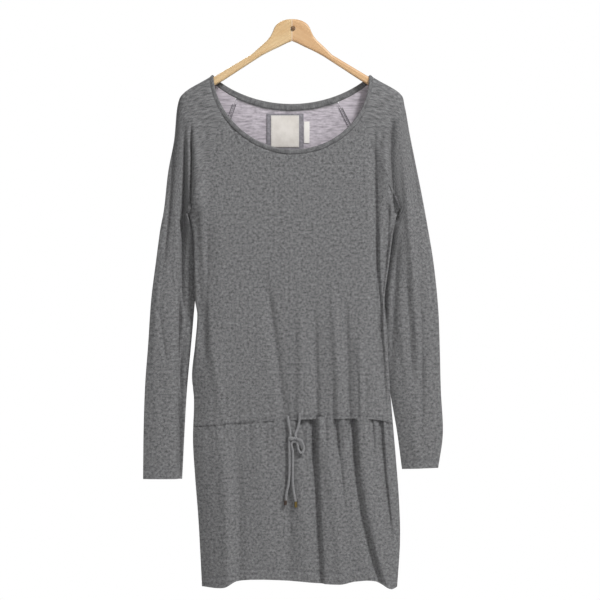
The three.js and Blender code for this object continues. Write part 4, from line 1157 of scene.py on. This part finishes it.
def neckband():
    bm = bmesh.new()
    columns, rows = (480), len(ROLL_SECTION)
    bmesh.ops.create_grid(bm, x_segments=columns, y_segments=rows, size=0.5)
    flat_map = bm.loops.layers.uv.new("cloth")
    flats = {}
    for vert in bm.verts:
        u, v = vert.co.x + 0.5, 0.5 - vert.co.y
        angle, face = neck_angle(u % 1)
        across, out = ROLL_SECTION[round(v * rows) % rows]
        wider = 1 if face == "front" else 1 + BACK_ROLL * math.sin(math.radians(angle))
        across = NECK["band"] - (NECK["band"] - across) * wider
        x, drop, half, normal = neck_point(angle, face, across)
        y = -half if face == "front" else half
        wave = 0.25 * noise.noise(Vector((x / 9, drop / 9, 5)))
        flats[vert.index] = Vector((u * 640, v * 18)) * MM
        vert.co = (Vector((x, y, -drop)) + normal * (out + wave)) * MM
    for face in bm.faces:
        for corner in face.loops:
            corner[flat_map].uv = flats[corner.vert.index]
    bmesh.ops.remove_doubles(bm, verts=bm.verts[:], dist=0.001 * MM)
    bmesh.ops.recalc_face_normals(bm, faces=bm.faces[:])
    piece = finish_piece("neckband_roll", bm, BAND_KNIT)
    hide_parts("neckband")
    return piece


# Stitches

def stitch_row(name, material, places, length, width):
    """Short rounded stitches, one at each (point, direction) in the list, joined as one piece."""
    bm = bmesh.new()
    for point, direction in places:
        turn = direction.to_track_quat("X", "Z").to_matrix().to_4x4()
        size = Matrix.Diagonal((length / 2 * MM, width / 2 * MM, width / 2 * MM, 1))
        bmesh.ops.create_icosphere(
            bm, subdivisions=1, radius=1, matrix=Matrix.Translation(point * MM) @ turn @ size
        )
    return finish_piece(name, bm, material)


def along_line(rule, start, end, step):
    """Points and directions every step along a line that rule(t) gives for t from start to end."""
    samples = [rule(mix(start, end, n / 400)) for n in range(401)]
    places = []
    left = step / 2
    for before, after in zip(samples, samples[1:]):
        gap = (after - before).length
        while left <= gap:
            places.append((before.lerp(after, left / gap), (after - before).normalized()))
            left += step
        left -= gap
    return places


STITCH = 2.8
STITCH_STEP = 3.5
THREAD_WIDTH = 0.55


def cloth_y(face, folds, x, drop, wall, extra=0):
    facing = -1 if face == "front" else 1
    left, right = side_x["left"](drop), side_x["right"](drop)
    body = body_half(drop)
    near_left = (1 - clamp01((x - left) / EDGE_LENS)) ** 2
    near_right = (1 - clamp01((right - x) / EDGE_LENS)) ** 2
    plain = body * (1 - near_left - near_right)
    to_side = min(x - left, right - x)
    rise = fold_rise(folds, x, drop) + drape(x, drop, SEEDS[face]) * clamp01(to_side / DRAPE_FADE)
    return facing * (HALF_GAP + max(0, plain + rise + extra) + wall)


SEEDS = {"front": 2.3, "back": 8.1}
SIDE_MARGIN = 4


def hem_stitches(face, folds):
    """Twin-needle rows round the turned-up hem."""
    places = []
    for above in (HEM_DEPTH - 0.6, HEM_DEPTH + 2.2):
        def rule(x):
            drop = hem_drop(x) - above
            return Vector((x, cloth_y(face, folds, x, drop, WALL, hem_roll(above)), -drop))

        start = side_x["left"](960) + SIDE_MARGIN
        end = side_x["right"](960) - SIDE_MARGIN
        places += along_line(rule, start, end, STITCH_STEP)
    return stitch_row(f"hem_stitches_{face}", THREAD, places, STITCH, THREAD_WIDTH)


def casing_stitches(face, folds):
    """A row beside the casing's lower edge."""

    def rule(x):
        drop = waist_drop(x) - 2.2
        pucker = casing_puckers(x, drop, waist_drop(x) - CASING, waist_drop(x))
        return Vector((x, cloth_y(face, folds, x, drop, CASING_SHOWN, pucker), -drop))

    start = side_x["left"](685) + SIDE_MARGIN
    end = side_x["right"](685) - SIDE_MARGIN
    places = along_line(rule, start, end, STITCH_STEP)
    return stitch_row(f"casing_stitches_{face}", THREAD, places, STITCH, THREAD_WIDTH)


def cuff_stitches(side, seed):
    """A twin-needle row round the cuff's narrow hem."""
    place = sleeve_place(side, seed)
    places = []
    for above in (CUFF_DEPTH, CUFF_DEPTH + 2.4):
        v = (1 - above / SLEEVE_LENGTH) ** (1 / ROW_CROWD)

        def rule(u):
            point = place(u, v)[0]
            centre = (place(0, v)[0] + place(0.5, v)[0]) / 2
            centre.z = point.z
            ahead = place(min(1, u + 0.004), v)[0] - place(max(0, u - 0.004), v)[0]
            out = ahead.cross(Vector((0, 0, 1))).normalized()
            if out.dot(point - centre) < 0:
                out = -out
            return point + out * (WALL + 0.1)

        places += along_line(rule, 0.0, 1.0, STITCH_STEP)
    return stitch_row(f"cuff_stitches_{side}", THREAD, places, STITCH, THREAD_WIDTH)


OVERLOCK = {"from": 0.05, "to": 0.8, "edge": 3, "stitch_step": 2.2, "rung_step": 3.4, "rung_lean": 0.45}


def raglan_overlock(side):
    """Overlocked seam allowance inside the back's raglan seam: two edges of thread and rungs between."""
    places = []
    for offset in (-OVERLOCK["edge"], OVERLOCK["edge"]):
        def rule(q):
            x, drop, half = raglan_point(side, "back", q)
            return Vector((x + offset, HALF_GAP + half - 0.9, -drop))

        places += along_line(rule, OVERLOCK["from"], OVERLOCK["to"], OVERLOCK["stitch_step"])
    rungs = []
    steps = along_line(lambda q: rung_point(side, q), OVERLOCK["from"], OVERLOCK["to"], OVERLOCK["rung_step"])
    for point, _ in steps:
        rungs.append((point, Vector((1, 0, OVERLOCK["rung_lean"] * sign_of(side)))))
    edges = stitch_row(f"raglan_overlock_{side}", OVERLOCK_THREAD, places, 2.6, 1.2)
    rungs_piece = stitch_row(f"raglan_overlock_rungs_{side}", THREAD, rungs, 5.6, 0.5)
    return [edges, rungs_piece]


def rung_point(side, q):
    x, drop, half = raglan_point(side, "back", q)
    return Vector((x, HALF_GAP + half - 0.7, -drop))


# Labels, blank

LABEL_GAP = 0.35
Label = namedtuple("Label", "left right top bottom lift thickness")
LABELS = {
    "label_patch": Label(-46.4, 18.6, 148, 214, 0, 0.9),
    "neck_label": Label(-38.5, 10.4, 151.5, 207, 1.25, 0.8),
    "care_label": Label(19.2, 28.9, 162, 200, 0, 0.6),
}


def label(name, material, curl):
    """A flat label with soft edges that lies on the back panel's inside. curl lifts its free lower edge."""
    spec = LABELS[name]

    def place(u, v):
        drop = mix(spec.top, spec.bottom, v)
        x = mix(spec.left, spec.right, u)
        y = HALF_GAP + body_half(drop) - LABEL_GAP - spec.lift
        edge = min(u, 1 - u) * (spec.right - spec.left)
        edge = min(edge, v * (spec.bottom - spec.top), (1 - v) * (spec.bottom - spec.top))
        soft = 0.25 * math.exp(-((edge / 0.8) ** 2))
        wave = curl * v**3 * (0.6 + 0.4 * math.sin(5 * u))
        return Vector((x, y + soft - wave, -drop)), Vector((0, -1, 0)), (x, -drop)

    piece = cloth(f"{name}_piece", material, 40, 40, place, spec.thickness)
    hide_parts(name)
    return piece


def label_stitches():
    """Stitches along the edges of the neck label and of the patch under it."""
    places = []
    for name, inset in (("neck_label", 1.4), ("label_patch", 1.6)):
        spec = LABELS[name]
        left, right = spec.left + inset, spec.right - inset
        top, bottom = spec.top + inset, spec.bottom - inset
        corners = [(left, top), (right, top), (right, bottom), (left, bottom), (left, top)]
        for (x0, d0), (x1, d1) in zip(corners, corners[1:]):
            def rule(t):
                x, drop = mix(x0, x1, t), mix(d0, d1, t)
                y = HALF_GAP + body_half(drop) - LABEL_GAP - spec.lift - spec.thickness
                return Vector((x, y, -drop))

            places += along_line(rule, 0, 1, 2.6)
    return stitch_row("label_stitches", THREAD, places, 1.9, 0.4)


# Drawstring

CORD = 4.6
CORD_REST = CORD / 2 + 0.32
CORD_REACH = {"across": 3, "down": 8}
Stop = namedtuple("Stop", "x drop out")
KNOT = {"x": -1.4, "drop": 716.5, "half_width": 8.2, "half_height": 5.2, "half_depth": 4.6, "out": 6.2}
LEFT_CORD = [
    Stop(-9.2, 677, CORD_REST), Stop(-7.9, 688, CORD_REST), Stop(-6, 698, CORD_REST + 1),
    Stop(-4.6, 710.9, CORD_REST + 3), Stop(-6.4, 721.8, 4.8), Stop(-6.2, 740, CORD_REST),
    Stop(-6.1, 770, CORD_REST), Stop(-7.8, 796, CORD_REST), Stop(-11.4, 812, CORD_REST),
    Stop(-12.2, 824, CORD_REST),
]
RIGHT_CORD = [
    Stop(11.4, 672, CORD_REST), Stop(10.8, 686, CORD_REST), Stop(8.6, 698, CORD_REST + 1),
    Stop(4.2, 711.2, CORD_REST + 3), Stop(7.2, 717, 6.6), Stop(13, 719.5, 5.8), Stop(17.6, 727, 4.6),
    Stop(18.4, 736, 3.9), Stop(14.6, 741.2, 3.7), Stop(10, 737, 3.6), Stop(8.2, 729, 3.6),
    Stop(6.2, 723, 3.4), Stop(-0.6, 722.2, 4.8), Stop(-0.4, 740, CORD_REST), Stop(-0.4, 770, CORD_REST),
    Stop(0, 798, CORD_REST), Stop(2.2, 814, CORD_REST), Stop(4.4, 826, CORD_REST),
]


def front_y(x, drop):
    """Outside of the front cloth's main form near its middle."""
    under = drop > waist_drop(x) + 0.4
    on_casing = not under and drop > waist_drop(x) - CASING
    folds = SKIRT_FOLDS if under else [] if on_casing else BODICE_FOLDS
    half = body_half(drop) + fold_rise(folds, x, drop)
    return -(HALF_GAP + half + (CASING_WALL if on_casing else WALL))


def cloth_front(x, drop):
    across, down = CORD_REACH["across"], CORD_REACH["down"]
    return min(front_y(x + dx, drop + dz) for dx in (-across, 0, across) for dz in (-down, 0, down))


def cord_point(stop):
    return Vector((stop.x, cloth_front(stop.x, stop.drop) - stop.out, -stop.drop)) * MM


def cord(name, stops, material):
    curve = bpy.data.curves.new(name, "CURVE")
    curve.dimensions = "3D"
    curve.bevel_depth = CORD / 2 * MM
    curve.bevel_resolution = 5
    curve.resolution_u = 10
    curve.use_fill_caps = True
    spline = curve.splines.new("BEZIER")
    spline.bezier_points.add(len(stops) - 1)
    for knob, stop in zip(spline.bezier_points, stops):
        knob.co = cord_point(stop)
        knob.handle_left_type = knob.handle_right_type = "AUTO"
    curve.materials.append(material)
    piece = bpy.data.objects.new(name, curve)
    bpy.context.scene.collection.objects.link(piece)
    return piece


def knot():
    """Half bow's knot: three turns of the cord drawn tight round the strands."""
    bm = bmesh.new()
    centre = Vector((KNOT["x"], cloth_front(KNOT["x"], KNOT["drop"]) - KNOT["out"], -KNOT["drop"]))
    turns = [(-4.9, 12, 2.7, 2.2), (0, -10, 3.1, 2.4), (4.9, 14, 2.6, 2.2)]
    for along, lean, reach, thick in turns:
        ring = bmesh.new()
        bmesh.ops.create_circle(
            ring, segments=14, radius=thick * MM, matrix=Matrix.Translation((0, 0, reach * 0.82 * MM))
        )
        bmesh.ops.spin(
            ring, geom=ring.verts[:] + ring.edges[:], cent=(0, 0, 0), axis=(0, 1, 0), dvec=(0, 0, 0),
            angle=2 * math.pi, steps=28, use_merge=True, use_duplicate=False,
        )
        bmesh.ops.recalc_face_normals(ring, faces=ring.faces[:])
        upright = Matrix.Rotation(math.radians(90), 4, "Z")
        placed = Matrix.Translation((centre + Vector((along, 0, 0))) * MM)
        tilt = Matrix.Rotation(math.radians(lean), 4, "Y")
        bmesh.ops.transform(ring, matrix=placed @ tilt @ upright, verts=ring.verts[:])
        mesh = bpy.data.meshes.new("turn")
        ring.to_mesh(mesh)
        ring.free()
        bm.from_mesh(mesh)
        bpy.data.meshes.remove(mesh)
    core = Matrix.Translation(centre * MM) @ Matrix.Diagonal((6.6 * MM, 3.4 * MM, 3.6 * MM, 1))
    bmesh.ops.create_uvsphere(bm, u_segments=24, v_segments=14, radius=1, matrix=core)
    piece = finish_piece("drawstring_knot_turns", bm, BRAID)
    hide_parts("drawstring_knot")
    return piece


def drawstring():
    left = cord("drawstring_left_cord", LEFT_CORD, BRAID)
    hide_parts("drawstring_left", "drawstring_tail_left")
    right = cord("drawstring_right_cord", RIGHT_CORD, BRAID)
    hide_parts("drawstring_right", "drawstring_loop", "drawstring_tail_right")
    turns = knot()
    for piece in (left, right, turns):
        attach(piece, "root")
    cord_point(LEFT_CORD[0])
    cord_point(RIGHT_CORD[0])


drawstring()

# Garment

front_gathers = waist_gathers(lambda x: waist_drop(x) - CASING, -150, 165, (6, 15), (0.5, 1.3), True)
front_skirt_gathers = waist_gathers(waist_drop, -165, 168, (5, 13), (0.6, 1.6), False)
back_gathers = waist_gathers(lambda x: waist_drop(x) - CASING, -160, 160, (6, 14), (0.6, 1.5), True)
back_skirt_gathers = waist_gathers(waist_drop, -165, 168, (5, 12), (0.7, 1.7), False)
FRONT_BODICE = BODICE_FOLDS + BODICE_CREASES + front_gathers
BACK_BODICE = BODICE_BACK_FOLDS + back_gathers
FRONT_SKIRT = SKIRT_FOLDS + SKIRT_CREASES + front_skirt_gathers
BACK_SKIRT = SKIRT_BACK_FOLDS + back_skirt_gathers

bodice_front = bodice("front", FRONT_BODICE, 230, 190, SEEDS["front"])
bodice_back = bodice("back", BACK_BODICE, 160, 180, SEEDS["back"])
skirt_front = skirt("front", FRONT_SKIRT, 260, 140, SEEDS["front"])
skirt_back = skirt("back", BACK_SKIRT, 200, 110, SEEDS["back"])
casing_front = casing("front", FRONT_BODICE, 300, SEEDS["front"])
casing_back = casing("back", BACK_BODICE, 240, SEEDS["back"])
sleeve_left = sleeve("left", SEEDS["front"])
sleeve_right = sleeve("right", SEEDS["front"])
band = neckband()
patch = label("label_patch", PATCH_KNIT_PAINTED_LIGHT, 0)
neck_label = label("neck_label", LABEL_TAPE, 0.1)
care_label = label("care_label", CARE_TAPE, 0.6)

stitches = [
    hem_stitches("front", FRONT_SKIRT),
    hem_stitches("back", BACK_SKIRT),
    casing_stitches("front", FRONT_BODICE),
    casing_stitches("back", BACK_BODICE),
    cuff_stitches("left", SEEDS["front"]),
    cuff_stitches("right", SEEDS["front"]),
    label_stitches(),
]
overlocks = {side: raglan_overlock(side) for side in ("left", "right")}

for piece in (bodice_front, bodice_back, skirt_front, skirt_back, sleeve_left, sleeve_right):
    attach(piece, "root")
for piece in (casing_front, casing_back):
    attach(piece, "root")
for piece, slot in (
    (band, "neckband_knit"), (patch, "patch_cloth"), (neck_label, "label_tape"), (care_label, "care_tape"),
):
    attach(piece, "root")
for piece in stitches + overlocks["left"] + overlocks["right"]:
    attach(piece, "root")

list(overlocks["left"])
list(overlocks["right"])


# Carried-over solids

def finish_node(node, material):
    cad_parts[node].data.materials.clear()
    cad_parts[node].data.materials.append(material)


finish_node("hanger_arm_left", LIGHT_BEECH)
finish_node("hanger_arm_right", DARK_BEECH)
finish_node("hanger_peg", PEG_WOOD)
finish_node("tip_left", PLASTIC_TIP)
finish_node("tip_right", BRASS_TIP)


# Studio

FLOOR = -1250
ROOM = 3000


def stage_plane(name, middle, size, material):
    bm = bmesh.new()
    placed = Matrix.Translation(Vector(middle) * MM)
    bmesh.ops.create_grid(bm, x_segments=1, y_segments=1, size=size * MM, matrix=placed)
    piece = finish_piece(name, bm, material, smooth=False)


def soft_light(name, place, size, power, aim=(0, 0, -500)):
    light = bpy.data.objects.new(name, bpy.data.lights.new(name, "AREA"))
    bpy.context.scene.collection.objects.link(light)
    light.data.shape = "RECTANGLE"
    light.data.size, light.data.size_y = size[0] * MM, size[1] * MM
    light.data.energy = power
    light.location = Vector(place) * MM
    way = Vector(aim) * MM - light.location
    light.rotation_euler = way.to_track_quat("-Z", "Y").to_euler()


def white_surroundings():
    """White to the camera, and faint as a light."""
    world = bpy.data.worlds.new("studio_surroundings")
    world.use_nodes = True
    tree = world.node_tree
    background = tree.nodes["Background"]
    background.inputs["Color"].default_value = (1, 1, 1, 1)
    seen = add(tree, "ShaderNodeLightPath").outputs["Is Camera Ray"]
    strength = add(tree, "ShaderNodeMapRange", {"To Min": 0.12, "To Max": 1.0}, {"Value": seen})
    tree.links.new(strength.outputs[0], background.inputs["Strength"])
    bpy.context.scene.world = world


def studio():
    stage_plane("studio_floor", (0, -500, FLOOR), ROOM, matt_paint("pale_matt_floor", 0xEFEFEF))
    soft_light("key_softbox", (1600, -1900, 2250), (600, 600), 122)
    soft_light("fill_softbox", (-900, -4000, 1400), (2000, 2000), 34)
    soft_light("back_softbox", (-1500, 3500, 2500), (1500, 1500), 120)
    white_surroundings()
    bpy.context.scene.view_settings.view_transform = "Standard"


studio()
